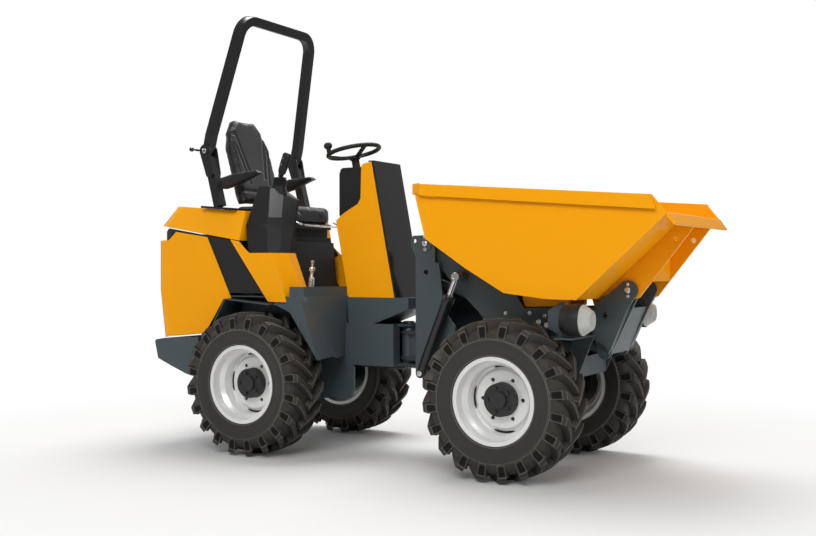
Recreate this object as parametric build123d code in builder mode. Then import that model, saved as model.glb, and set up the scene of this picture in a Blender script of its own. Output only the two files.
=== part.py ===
"""Site dumper: compact articulated wheeled dumper with a high-tip skip.

Frame: X forward, Y to the driver's left, Z up, millimetres.  The origin is on the ground
under the middle of the machine's overall box.  The rear frame carries engine, driver's seat
and roll-over frame, the front frame carries the mast, lift arm and skip, and the two are
joined by one upright steering pivot.
"""
from build123d import *
from math import atan2, cos, degrees, hypot, radians, sin, tan
import os

os.makedirs("parts", exist_ok=True)

# ------------------------------------------------------------------ driving dimensions (mm)
# Running gear
rear_axle_x = -780.0
wheelbase = 1470.0
half_track = 466.0
tyre_radius = 382.0
tyre_section = 264.0
tread_width = 232.0
lug_height = 34.0
lug_pairs = 20
tyre_sides = 40               # flats round the carcass, two to each lug
flange_radius = 208.0
bead_radius = 194.0
well_radius = 168.0
rim_half_width = 117.0
rim_wall = 6.0
disc_wall = 9.0
disc_inset = 112.0            # from the rim's outer edge to the outer face of the disc
bolt_circle = 102.5           # radius
bolt_hole = 9.5
bolt_count = 6
disc_bore = 80.5
hub_radius = 79.0
hub_length = 52.0
axle_tube = 48.0
axle_head = 82.0

# Steering pivot
pivot_x = -90.0
pivot_low = 472.0
pivot_swing = 76.0                # radius left free round the pivot for the front lugs
pivot_high = 697.0
pivot_pin = 22.0
pivot_plate = 14.0
steer_limit = 32.0

# Rear frame
plate = 10.0
neck_half = 143.0
neck_front_x = -104.0
neck_low = 471.0
floor_top = 846.0
floor_plate = 6.0
body_half = 450.0
fender_half = 500.0
fender_inner = 330.0
tail_x = -1507.0

# Mast, lift arm and carriage
mast_inner = 175.0
mast_plate = 15.0
arm_outer = 153.0
arm_plate = 15.0
lift_pin = (118.0, 1124.0)        # arm on mast (X, Z)
arm_front_pin = (1090.0, 773.0)   # carriage on arm
link_drop = (-25.0, -183.0)       # lower link's pins from the arm's pins
carriage_outer = 170.0
carriage_plate = 12.0
skip_pin = (1196.0, 893.0)        # skip on carriage
ear_radius = 47.0
ear_bore = 16.0
lift_eye = (322.0, 953.0)         # lift cylinder on arm
lift_foot = (120.0, 457.0)        # lift cylinder on mast
lift_cyl_y = 235.0
tip_foot = (700.0, 600.0)         # tip cylinder on carriage tongue
tip_eye = (1010.0, 795.0)         # tip cylinder on skip
eye_radius = 27.0
pin_radius = 12.0
cover_wall = 4.0
running_gap = 0.4                 # around pins and beside eyes
fit = 0.3                         # between pieces bolted or seated together
eye_bore = pin_radius + running_gap

# Skip
skip_half = 455.0
skip_wall = 4.0
rim_lip = 23.0
rib_outer = 150.0
rib_plate = 12.0

# Roll-over frame and driver's place
rops_half = 408.0                 # centre of a leg at the hinge
rops_top_half = 319.0             # centre of a leg at the top bar
rops_tube = 50.0
rops_hinge = (-1146.0, 1648.0)
rops_top = (-963.0, 2412.0)
rops_foot = (-1063.0, 1337.0)
hoop_radius = 130.0               # outside of the hoop's corners
steering_hub = (-446.0, 1646.0)   # middle of the steering wheel
steering_tilt = 12.0
steering_radius = 145.0

front_axle_x = rear_axle_x + wheelbase
axle_z = tyre_radius


# ------------------------------------------------------------------ small helpers
def side_plane(y):
    """Upright lengthwise plane at width y: its x is forward, its y is up, it faces right."""
    return Plane.XZ.offset(-y)


def save(piece, name):
    """Label a finished piece and write its STEP file."""
    piece.label = name
    export_step(piece, f"parts/{name}.step")


def rounded_rear(rear, front, half, radius, facets=4):
    """Plan outline of a cover: square at the front, its two rear corners turned in short flats."""
    corner = []
    for index in range(facets + 1):
        turn = radians(90 * index / facets)
        corner.append((rear + radius * (1 - sin(turn)), half - radius * (1 - cos(turn))))
    return [(front, half), *corner, *[(x, -y) for x, y in reversed(corner)], (front, -half)]


# ------------------------------------------------------------------ wheels
def make_lug(side):
    """One chevron lug of the tyre's given side, standing on top of the wheel."""
    root = tyre_radius - lug_height
    with BuildPart() as lug:
        for width, middle, half_long, low, high in (
            (4, 40, 13, root - 8, tyre_radius - 4),
            (tyre_section / 2 - 8, -34, 17, root - 46, tyre_radius - 14),
        ):
            with BuildSketch(side_plane(side * width)):
                with BuildLine():
                    Polyline((middle - half_long, low), (middle + half_long, low), (middle + half_long, high),
                             (middle - half_long, high), close=True)
                make_face()
        loft(ruled=True)
    return lug.part


def make_tyre():
    """Traction tyre at the origin, axle along Y: a flat-sided carcass with two rows of chevron lugs."""
    root = tyre_radius - lug_height
    half_section = tyre_section / 2
    spread = 1 / cos(radians(180 / tyre_sides))
    profile = (
        # radius over the flats, half width: from the side wall out to the tread
        (0.66 * flange_radius + 0.34 * root, half_section),
        (0.18 * flange_radius + 0.82 * root, half_section - 12),
        (root, 0.30 * tread_width),
    )
    left_lug = make_lug(1)
    right_lug = make_lug(-1)
    pitch = 360 / lug_pairs
    with BuildPart() as tyre:
        for (low, out), (high, inward) in zip(profile, profile[1:]):
            for side in (1, -1):
                for radius, width in ((low, out), (high, inward)):
                    with BuildSketch(side_plane(side * width)):
                        RegularPolygon(radius * spread, tyre_sides)
                loft(ruled=True)
        with BuildSketch(side_plane(-profile[-1][1])):
            RegularPolygon(root * spread, tyre_sides)
        extrude(amount=-2 * profile[-1][1])
        add([Rot(0, pitch * index, 0) * left_lug for index in range(lug_pairs)])
        add([Rot(0, pitch * (index + 0.5), 0) * right_lug for index in range(lug_pairs)])
        with BuildSketch(side_plane(-tyre_section)):
            RegularPolygon((flange_radius + fit) * spread, tyre_sides)
        extrude(amount=-2 * tyre_section, mode=Mode.SUBTRACT)
    return tyre.part


def make_rim():
    """Pressed steel rim with its inset disc, for a left wheel (outer face towards +Y)."""
    half = rim_half_width
    disc_out = half - disc_inset
    with BuildPart() as rim:
        with BuildSketch(Plane.XY):
            with BuildLine():
                Polyline(
                    (flange_radius, half),
                    (flange_radius, half - 8),
                    (bead_radius, half - 12),
                    (bead_radius - 3, half - 48),
                    (well_radius, half - 66),
                    (well_radius, -half + 66),
                    (bead_radius - 3, -half + 48),
                    (bead_radius, -half + 12),
                    (flange_radius, -half + 8),
                    (flange_radius, -half),
                    (bead_radius - rim_wall, -half),
                    (bead_radius - rim_wall - 3, -half + 50),
                    (well_radius - rim_wall, -half + 70),
                    (well_radius - rim_wall, half - 70),
                    (bead_radius - rim_wall - 3, half - 50),
                    (bead_radius - rim_wall, half),
                    close=True,
                )
            make_face()
        revolve(axis=Axis.Y)
        with BuildSketch(Plane.XY):
            with BuildLine():
                Polyline(
                    (disc_bore, disc_out),
                    (disc_bore, disc_out - disc_wall),
                    (bolt_circle + 28, disc_out - disc_wall),
                    (bolt_circle + 44, disc_out - disc_wall - 20),
                    (well_radius - rim_wall + 1, disc_out - disc_wall - 20),
                    (well_radius - rim_wall + 1, disc_out - 20),
                    (bolt_circle + 48, disc_out - 20),
                    (bolt_circle + 32, disc_out),
                    close=True,
                )
            make_face()
        revolve(axis=Axis.Y)
        with BuildSketch(Plane.XZ.offset(-disc_out - 1)):
            with PolarLocations(bolt_circle, bolt_count):
                Circle(bolt_hole)
        extrude(amount=disc_wall + 2, mode=Mode.SUBTRACT)
    return rim.part


def make_hub():
    """Black hub of a left wheel: drum behind the disc, cap and bolts in front of it."""
    disc_out = rim_half_width - disc_inset
    bolt_ring = 58.0
    with BuildPart() as hub:
        with BuildSketch(Plane.XZ.offset(-disc_out + disc_wall + 0.3)):
            Circle(bolt_circle + 24)
        extrude(amount=18)
        with BuildSketch(Plane.XZ.offset(-disc_out + disc_wall + 0.3)):
            Circle(hub_radius)
        extrude(amount=-hub_length)
        with BuildSketch(Plane.XZ.offset(-disc_out + disc_wall + 0.3 - hub_length)):
            Circle(hub_radius * 0.5)
        extrude(amount=-14)
        with BuildSketch(Plane.XZ.offset(-disc_out + disc_wall + 0.3 - hub_length)):
            with PolarLocations(bolt_ring, 5):
                RegularPolygon(10, 6)
        extrude(amount=-10)
    return hub.part


tyre_master = make_tyre()
rim_master = make_rim()
hub_master = make_hub()

wheel_places = (
    # corner, axle X, side
    ("front_left", front_axle_x, 1),
    ("front_right", front_axle_x, -1),
    ("rear_left", rear_axle_x, 1),
    ("rear_right", rear_axle_x, -1),
)
for corner, wheel_x, side in wheel_places:
    centre = Pos(wheel_x, side * half_track, axle_z)
    turned = centre if side > 0 else centre * Rot(0, 0, 180)
    save(centre * tyre_master, f"tyre_{corner}")
    save(turned * rim_master, f"rim_{corner}")
    save(turned * hub_master, f"hub_{corner}")

# ------------------------------------------------------------------ axles
hub_back = half_track + rim_half_width - disc_inset - disc_wall - 0.3 - 18
for axle_name, axle_x in (("rear_axle", rear_axle_x), ("front_axle", front_axle_x)):
    with BuildPart() as axle:
        with BuildSketch(Plane.XZ.offset(-hub_back + 0.3)):
            with Locations((axle_x, axle_z)):
                Circle(axle_tube)
        extrude(amount=2 * (hub_back - 0.3))
        for side in (1, -1):
            with BuildSketch(side_plane(side * (hub_back - 0.3))):
                with Locations((axle_x, axle_z)):
                    Circle(axle_head)
            extrude(amount=side * 70)
            with BuildSketch(side_plane(side * 210)):
                with Locations((axle_x, axle_z + 20)):
                    Rectangle(120, 2 * axle_tube)
            extrude(amount=side * 60)
        with BuildSketch(Plane.XZ.offset(-75)):
            with Locations((axle_x, axle_z)):
                Circle(85)
        extrude(amount=150)
    save(axle.part, axle_name)

# ------------------------------------------------------------------ rear frame
arch = ((-1038.0, 686.0), (-953.0, 825.0), (-639.0, 798.0), (-549.0, 763.0), (-347.0, 521.0))
arch_inner = 318.0
chassis_tail_x = -1390.0
toe_board = 52.0
apron_low = 679.0
foot_plate = {
    # the right side's plate runs on to the front as a foot, the left one ends behind it
    1: ((-650, 306), (-650, neck_low + 2)),
    -1: ((-576, 276), (-365, 295), (-352, 334), (-352, 459), (-365, neck_low + 2)),
}
with BuildPart() as rear_frame:
    # splayed bulkhead: wide at the wheel arches, drawn in to the neck
    for level, outline in (
        (floor_top, ((-660, body_half), (-495, body_half), (-478, 432), (-398, neck_half))),
        (neck_low + 50, ((-660, fender_half), (arch[4][0], fender_half), (-352, 300), (-411, neck_half))),
    ):
        with BuildSketch(Plane.XY.offset(level)):
            with BuildLine():
                Polyline(*outline, *[(x, -y) for x, y in reversed(outline)], close=True)
            make_face()
    loft(ruled=True)
    for level, outline in (
        (floor_top - floor_plate, ((-700, body_half - plate), (-503, body_half - plate),
                                   (-489, 424), (-410, neck_half - plate))),
        (neck_low + 40, ((-700, fender_half - plate), (arch[4][0] - 14, fender_half - plate),
                         (-364, 306), (-424, neck_half - plate))),
    ):
        with BuildSketch(Plane.XY.offset(level)):
            with BuildLine():
                Polyline(*outline, *[(x, -y) for x, y in reversed(outline)], close=True)
            make_face()
    loft(ruled=True, mode=Mode.SUBTRACT)
    # wheel houses cut clear of the tyres
    for side in (1, -1):
        with BuildSketch(side_plane(side * arch_inner)):
            with BuildLine():
                Polyline((-1100, 300), arch[0], arch[1], arch[2], arch[3], arch[4],
                         (arch[4][0] + 1, 300), close=True)
            make_face()
        extrude(amount=-side * 300, mode=Mode.SUBTRACT)
    # neck and chassis rails: a box that is open below the engine
    with BuildSketch(side_plane(0)):
        with BuildLine():
            Polyline(
                (chassis_tail_x, 640), (chassis_tail_x, 560), (-1000, neck_low),
                (neck_front_x, neck_low), (neck_front_x, pivot_high), (-600, pivot_high),
                (-700, 640), close=True,
            )
        make_face()
    extrude(amount=neck_half, both=True)
    with BuildSketch(side_plane(0)):
        with BuildLine():
            Polyline(
                (chassis_tail_x + 40, 700), (chassis_tail_x + 40, 570), (-990, neck_low + plate),
                (neck_front_x - plate, neck_low + plate),
                (neck_front_x - plate, pivot_high - plate), (-600, pivot_high - plate),
                (-700, 700), close=True,
            )
        make_face()
    extrude(amount=neck_half - 12, both=True, mode=Mode.SUBTRACT)
    with BuildSketch(Plane.XY.offset(pivot_low + pivot_plate)):
        with Locations((pivot_x, 0)):
            Circle(pivot_swing)
    extrude(amount=pivot_high - pivot_low - 2 * pivot_plate, mode=Mode.SUBTRACT)
    # pivot clevis on the neck's front end
    for low in (pivot_low, pivot_high - pivot_plate):
        with BuildSketch(Plane.XY.offset(low)):
            with Locations((pivot_x, 0)):
                Circle(50)
            with Locations((neck_front_x - 1, 0)):
                Rectangle(2, 190)
            make_hull()
            with Locations((pivot_x, 0)):
                Circle(pivot_pin + running_gap, mode=Mode.SUBTRACT)
        extrude(amount=pivot_plate)
    # apron under the scuttle
    with BuildSketch(side_plane(0)):
        with BuildLine():
            Polyline((-398, floor_top - 8), (-12, floor_top - 8), (-12, 779), (-275, apron_low),
                     (-385, apron_low), close=True)
        make_face()
    extrude(amount=neck_half, both=True)
    # toe board along the floor's front edge
    for side in (1, -1):
        with BuildSketch(Plane.XY.offset(floor_top)):
            with BuildLine():
                Polyline((-560, side * body_half), (-495, side * body_half), (-478, side * 432),
                         (-398, side * neck_half), (-404, side * neck_half), (-484, side * 430),
                         (-498, side * (body_half - 6)), (-560, side * (body_half - 6)), close=True)
            make_face()
        extrude(amount=toe_board)
    # deck that the seat box, roll-over frame and covers stand on
    with BuildSketch(Plane.XY.offset(floor_top - floor_plate)):
        with Locations((-905, 0)):
            Rectangle(500, 2 * (body_half - cover_wall - fit))
    extrude(amount=floor_plate)
    for side in (1, -1):
        with BuildSketch(side_plane(side * (arch_inner - 8))):
            with BuildLine():
                Polyline((-1155, 560), (-1155, floor_top - 2), (-655, floor_top - 2), (-655, 560),
                         close=True)
            make_face()
        extrude(amount=-side * 8)
    for side in (1, -1):
        for x in (-1150, -700):
            with BuildSketch(Plane.YZ.offset(x)):
                with Locations((side * 0.5 * (neck_half + arch_inner - 8), 600)):
                    Rectangle(arch_inner - 8 - neck_half + 4, 80)
            extrude(amount=plate)
    # centre pivot pin
    with BuildSketch(Plane.XY.offset(pivot_low - 10)):
        with Locations((pivot_x, 0)):
            Circle(pivot_pin)
    extrude(amount=pivot_high - pivot_low + 20)
    with BuildSketch(Plane.XY.offset(pivot_high)):
        with Locations((pivot_x, 0)):
            Circle(30)
    extrude(amount=12)
    # steering cylinder foot, low on the left of the neck
    with BuildSketch(Plane.XY.offset(neck_low - 4)):
        with BuildLine():
            Polyline((-570, neck_half - 20), (-460, neck_half - 20), (-490, 222), (-550, 222), close=True)
        make_face()
    extrude(amount=16)
    with BuildSketch(Plane.XY.offset(432)):
        with Locations((-520, 195)):
            Circle(pin_radius)
    extrude(amount=38)
    # rear axle seats and brackets below the rails
    for side in (1, -1):
        with BuildSketch(Plane.XY.offset(axle_z + 20 + axle_tube + fit)):
            with Locations((rear_axle_x, side * 165)):
                Rectangle(120, 60)
        extrude(amount=60)
        with BuildSketch(side_plane(side * (neck_half - 12))):
            with BuildLine():
                Polyline((-905, neck_low + 2), (-905, 380), (-840, 380), (-840, 440), (-720, 440),
                         (-720, 330), *foot_plate[side], close=True)
            make_face()
            with Locations((rear_axle_x, axle_z)):
                Circle(axle_tube + fit, mode=Mode.SUBTRACT)
        extrude(amount=-side * 12)
    # rebates for the pillars' skirts
    for side in (1, -1):
        with BuildSketch(side_plane(side * (body_half - cover_wall - fit))):
            with BuildLine():
                Polyline((-720, 806), (-569, 806), (-569, floor_top), (-591, floor_top + 4), (-720, floor_top + 4),
                         close=True)
            make_face()
        extrude(amount=-side * 80, mode=Mode.SUBTRACT)
save(rear_frame.part, "rear_frame")

with BuildPart() as counterweight:
    with BuildSketch(side_plane(0)):
        with BuildLine():
            Polyline((tail_x, 577), (tail_x + 7, 589), (-1439, 599), (-1334, 607), (-1186, 614),
                     (-1186, 385), (-1272, 402),
                     (-1394, 447), (-1484, 483), close=True)
        make_face()
    extrude(amount=body_half, both=True)
    with BuildSketch(side_plane(0)):
        with BuildLine():
            Polyline((chassis_tail_x - fit, 700), (chassis_tail_x - fit, 440), (-1100, 380), (-1100, 700),
                     close=True)
        make_face()
    extrude(amount=neck_half + fit, both=True, mode=Mode.SUBTRACT)
save(counterweight.part, "counterweight")

with BuildPart() as fenders:
    for side in (1, -1):
        with BuildSketch(side_plane(side * (arch_inner + fit))):
            with BuildLine():
                Polyline(arch[0], arch[1], arch[2], arch[3],
                         (arch[3][0] + 4, arch[3][1] + 5), (arch[2][0] + 1, arch[2][1] + 6),
                         (arch[1][0] - 4, arch[1][1] + 6), (arch[0][0] - 6, arch[0][1] + 3),
                         close=True)
            make_face()
        extrude(amount=-side * (fender_half - arch_inner - fit))
        with BuildSketch(Plane.XY.offset(700)):
            with Locations((-600, side * 500)):
                Rectangle(126, 124)
        extrude(amount=200, mode=Mode.SUBTRACT)
save(fenders.part, "fenders")

# ------------------------------------------------------------------ engine and covers
with BuildPart() as engine_block:
    with BuildSketch(Plane.XY.offset(640 + fit)):
        with Locations((-1312, 0)):
            Rectangle(265, 250)
    extrude(amount=400)
save(engine_block.part, "engine_block")

# black inner housing: shows as the slanting band between the yellow covers
housing_half = body_half - cover_wall - fit
housing_wall = 8.0
with BuildPart() as housing_space:
    with BuildSketch(side_plane(0)):
        with BuildLine():
            Polyline((-1480, 620), (-1166, 620), (-1164, 852), (-690, 852), (-690, 1240), (-890, 1240),
                     (-1480, 1300), close=True)
        make_face()
    extrude(amount=housing_half - housing_wall, both=True)
    with BuildSketch(Plane.XY.offset(600)):
        with BuildLine():
            Polyline(*rounded_rear(-1457 + housing_wall, -600, housing_half - housing_wall, 57), close=True)
        make_face()
    extrude(amount=800, mode=Mode.INTERSECT)
with BuildPart() as engine_housing:
    with BuildSketch(side_plane(0)):
        with BuildLine():
            Polyline((-1480, 642), (-1158, 642), (-1156, 860), (-700, 860), (-890, 1140), (-970, 1152),
                     (-1405, 1222), (-1480, 1180), close=True)
        make_face()
    extrude(amount=housing_half, both=True)
    with BuildSketch(Plane.XY.offset(600)):
        with BuildLine():
            Polyline(*rounded_rear(-1457, -600, housing_half, 65), close=True)
        make_face()
    extrude(amount=800, mode=Mode.INTERSECT)
    add(housing_space.part, mode=Mode.SUBTRACT)
save(engine_housing.part, "engine_housing")

side_outline = ((-1520, 1150), (-1401, 1155), (-1348, 1200), (-1122, 1168), (-953, 832), (-1004, 828),
                (-1086, 708), (-1139, 636), (-1334, 619), (-1441, 604), (-1520, 604))
with BuildPart() as side_panels:
    for wall, mode in ((0.0, Mode.ADD), (cover_wall, Mode.SUBTRACT)):
        for (low, low_rear), (high, high_rear) in (((600, -1468), (871, -1505)), ((871, -1505), (1215, -1505))):
            for level, rear in ((low, low_rear), (high, high_rear)):
                with BuildSketch(Plane.XY.offset(level)):
                    with BuildLine():
                        Polyline(*rounded_rear(rear + wall, -900 + 10 * wall, body_half - wall, 75 - wall),
                                 close=True)
                    make_face()
            loft(ruled=True, mode=mode)
    with BuildSketch(side_plane(0)):
        with BuildLine():
            Polyline(*side_outline, close=True)
        make_face()
    extrude(amount=body_half + 10, both=True, mode=Mode.INTERSECT)
save(side_panels.part, "side_panels")


cover_rear_low = (-1482.0, 1240.0)
cover_front_low = (-898.0, 1146.0)
cover_rear_high = (-1411.0, 1350.0)
cover_front_high = (-896.0, 1309.0)
cover_top_half = 400.0
cover_corner = 70.0
seat_notch_half = 262.0
seat_notch_rear = -1190.0
with BuildPart() as top_cover:
    for wall, mode in ((0.0, Mode.ADD), (cover_wall, Mode.SUBTRACT)):
        for rear, front, half in ((cover_rear_low, cover_front_low, body_half),
                                  (cover_rear_high, cover_front_high, cover_top_half)):
            run = hypot(front[0] - rear[0], front[1] - rear[1])
            level = Plane(origin=(rear[0], 0, rear[1]),
                          x_dir=(front[0] - rear[0], 0, front[1] - rear[1]),
                          z_dir=(rear[1] - front[1], 0, front[0] - rear[0]))
            notch_x = seat_notch_rear - rear[0] - wall
            notch = seat_notch_half + wall
            with BuildSketch(level.offset(-wall)):
                with BuildLine():
                    Polyline(*rounded_rear(wall, run - wall, half - wall, cover_corner - wall),
                             (run - wall, -notch), (notch_x, -notch), (notch_x, notch),
                             (run - wall, notch), close=True)
                make_face()
        loft(ruled=True, mode=mode)
    for side in (1, -1):
        with BuildSketch(Plane.XY.offset(1290)):
            with Locations((rops_foot[0], side * 300)):
                Rectangle(72, 62)
        extrude(amount=100, mode=Mode.SUBTRACT)
save(top_cover.part, "top_cover")

pillar_low = floor_top + fit
pillar_high = 1078.0
pillar_dip = (-795.0, 1045.0)
with BuildPart() as pillars:
    for side in (1, -1):
        for level, points in (
            (pillar_low, ((-690, body_half), (-591, body_half), (-564, 330), (-564, 262), (-690, 262))),
            (pillar_high, ((-847, body_half), (-687, body_half), (-657, 330), (-657, 262), (-847, 262))),
        ):
            with BuildSketch(Plane.XY.offset(level)):
                with BuildLine():
                    Polyline(*[(x, side * y) for x, y in points], close=True)
                make_face()
        loft(ruled=True)
        with BuildSketch(side_plane(side * body_half)):
            with BuildLine():
                Polyline((-960, 1153), (-902, 1143), pillar_dip, (-687, pillar_high), (-579, 816),
                         (-701, 816), close=True)
            make_face()
        extrude(amount=side * cover_wall)
    with BuildSketch(side_plane(0)):
        with BuildLine():
            Polyline((-687, pillar_high + 1), (-687, pillar_high), pillar_dip, (-857, pillar_dip[1]),
                     (-857, pillar_high + 1), close=True)
        make_face()
    extrude(amount=body_half - cover_wall, both=True, mode=Mode.SUBTRACT)
save(pillars.part, "pillars")

# ------------------------------------------------------------------ seat
seat_half = 238.0
seat_box_top = 1143.0
with BuildPart() as seat_box:
    with BuildSketch(side_plane(0)):
        with BuildLine():
            Polyline((-980, floor_top + fit), (-692, floor_top + fit), (-720, seat_box_top),
                     (-1080, seat_box_top), (-1080, 1070), (-980, 1070), close=True)
        make_face()
    extrude(amount=206, both=True)
save(seat_box.part, "seat_box")

with BuildPart() as seat_suspension:
    with BuildSketch(side_plane(0)):
        with BuildLine():
            Polyline((-1070, seat_box_top + fit), (-735, seat_box_top + fit), (-735, 1172), (-760, 1172),
                     (-760, 1218), (-735, 1218), (-735, 1250), (-1070, 1250), (-1070, 1218),
                     (-1045, 1218), (-1045, 1172), (-1070, 1172), close=True)
        make_face()
    extrude(amount=200, both=True)
save(seat_suspension.part, "seat_suspension")

with BuildPart() as seat_cushion:
    with BuildSketch(Plane.XY.offset(1250 + fit)):
        with Locations((-935, 0)):
            RectangleRounded(424, 2 * seat_half, 70)
    extrude(amount=98)
    fillet(seat_cushion.faces().sort_by(Axis.Z)[-1].edges(), radius=30)
save(seat_cushion.part, "seat_cushion")

back_lean = 15.9
back_half = 200.0
with BuildPart() as seat_back:
    back_plane = Plane(origin=(-1098, 0, 1350), x_dir=(0, 1, 0),
                       z_dir=(cos(radians(back_lean)), 0, sin(radians(back_lean))))
    with BuildSketch(back_plane):
        with BuildLine():
            Polyline((-back_half + 12, 4.9), (back_half - 12, 4.9), (back_half, 80), (back_half, 370),
                     (back_half - 38, 467), (100, 544), (-100, 544), (-back_half + 38, 467),
                     (-back_half, 370), (-back_half, 80), close=True)
        make_face()
    extrude(amount=28, both=True)
save(seat_back.part, "seat_back")

with BuildPart() as armrests:
    for side in (1, -1):
        with BuildSketch(side_plane(side * 260)):
            with BuildLine():
                Polyline((-1217, 1501), (-1079, 1535), (-915, 1545), (-887, 1527), (-1043, 1466),
                         (-1152, 1441), (-1203, 1460), close=True)
            make_face()
        extrude(amount=25, both=True)
        with BuildSketch(side_plane(side * (back_half + fit))):
            with Locations((-1140, 1480)):
                Circle(14)
        extrude(amount=-side * 38)
save(armrests.part, "armrests")

console_levels = (
    # height, then plan corners (X, |Y|) from the rear round the outside to the inner rear
    (1045 + fit, ((-846, 430), (-740, 400), (-690, 362), (-657, 320), (-657, 252), (-846, 252))),
    (1230, ((-889, 400), (-761, 380), (-705, 322), (-664, 270), (-664, 252), (-889, 252))),
    (1443, ((-830, 362), (-757, 362), (-692, 307), (-622, 270), (-622, 252), (-830, 252))),
)
with BuildPart() as console:
    for lower, upper in zip(console_levels, console_levels[1:]):
        for level, corners in (lower, upper):
            with BuildSketch(Plane.XY.offset(level)):
                with BuildLine():
                    Polyline(*[(x, -y) for x, y in corners], close=True)
                make_face()
        loft(ruled=True)
    with BuildSketch(side_plane(0)):
        with BuildLine():
            Polyline((-757, 1443), (-600, 1345), (-600, 1460), (-757, 1460), close=True)
        make_face()
        with BuildLine():
            Polyline((pillar_dip[0], 1040), (pillar_dip[0], pillar_dip[1] + fit),
                     (-687, pillar_high + fit), (-600, pillar_high + fit), (-600, 1040), close=True)
        make_face()
    extrude(amount=body_half, both=True, mode=Mode.SUBTRACT)
save(console.part, "console")

with BuildPart() as joystick:
    for low, low_x, low_half, high, high_x, high_half in (
        (1380, -726, 46, 1490, -722, 26),
        (1488, -722, 11, 1575, -690, 9),
        (1570, -692, 20, 1612, -678, 16),
    ):
        for level, x, half in ((low, low_x, low_half), (high, high_x, high_half)):
            with BuildSketch(Plane.XY.offset(level)):
                with Locations((x, -312)):
                    RegularPolygon(half, 12)
        loft(ruled=True)
    with BuildSketch(side_plane(0)):
        with BuildLine():
            Polyline((-860, 1443 + fit), (-757, 1443 + fit), (-600, 1345 + fit), (-600, 1300),
                     (-860, 1300), close=True)
        make_face()
    extrude(amount=body_half, both=True, mode=Mode.SUBTRACT)
save(joystick.part, "joystick")

# ------------------------------------------------------------------ scuttle and steering
panel = 5.0
scuttle_outline = ((-470, 1256), (-424, 1294), (-330, 1345), (-311, 1372), (-307, 1549), (-290, 1562),
                   (-241, 1570), (-98, floor_top - 8 + fit), (-389, floor_top - 8 + fit))
with BuildPart() as scuttle_sides:
    for side in (1, -1):
        with BuildSketch(side_plane(side * neck_half)):
            with BuildLine():
                Polyline(*scuttle_outline, close=True)
            make_face()
        extrude(amount=side * panel)
save(scuttle_sides.part, "scuttle_sides")

with BuildPart() as scuttle_front:
    with BuildSketch(side_plane(0)):
        with BuildLine():
            Polyline((-241 + fit, 1570), (-98 + fit, floor_top - 8 + fit), (-86, floor_top - 8 + fit),
                     (-229, 1576), (-262, 1576), (-262, 1570), close=True)
        make_face()
    extrude(amount=neck_half, both=True)
save(scuttle_front.part, "scuttle_front")

with BuildPart() as dash:
    with BuildSketch(side_plane(0)):
        with BuildLine():
            FilletPolyline((-469, 1262), (-469, 1548), (-262, 1548), (-262, floor_top - 8 + fit),
                           (-380, floor_top - 8 + fit), (-380, 1262), radius=25, close=True)
        make_face()
    extrude(amount=105, both=True)
    # steering column
    column_axis = Plane(origin=(steering_hub[0], 0, steering_hub[1]),
                        x_dir=(cos(radians(steering_tilt)), 0, sin(radians(steering_tilt))),
                        z_dir=(-sin(radians(steering_tilt)), 0, cos(radians(steering_tilt))))
    with BuildSketch(column_axis.offset(-125)):
        Circle(22)
    extrude(amount=79)
save(dash.part, "dash")

rim_grip = 11.0
grip_flats = (
    # height over the wheel's middle plane, half width of the grip there
    (-rim_grip, 0.42 * rim_grip), (-0.42 * rim_grip, rim_grip), (0.42 * rim_grip, rim_grip),
    (rim_grip, 0.42 * rim_grip),
)
with BuildPart() as steering_wheel:
    for sign, mode in ((1, Mode.ADD), (-1, Mode.SUBTRACT)):
        for lower, upper in zip(grip_flats, grip_flats[1:]):
            for height, half in (lower, upper):
                with BuildSketch(column_axis.offset(height)):
                    RegularPolygon(steering_radius + sign * half, 24)
            loft(ruled=True, mode=mode)
    with BuildSketch(column_axis.offset(-45.5)):
        Circle(30)
    extrude(amount=16)
    for turn in (90, 210, 330):
        with BuildSketch(Plane(column_axis.location * Rot(0, 0, turn) * Rot(90, 0, 0))):
            with BuildLine():
                Polyline((16, -43), (steering_radius - 6, -7), (steering_radius - 6, 2), (16, -33), close=True)
            make_face()
        extrude(amount=12, both=True)
    with BuildSketch(column_axis):
        with Locations((-steering_radius * 0.6, -steering_radius * 0.8)):
            RegularPolygon(13, 12)
    extrude(amount=60)
save(steering_wheel.part, "steering_wheel")

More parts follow.
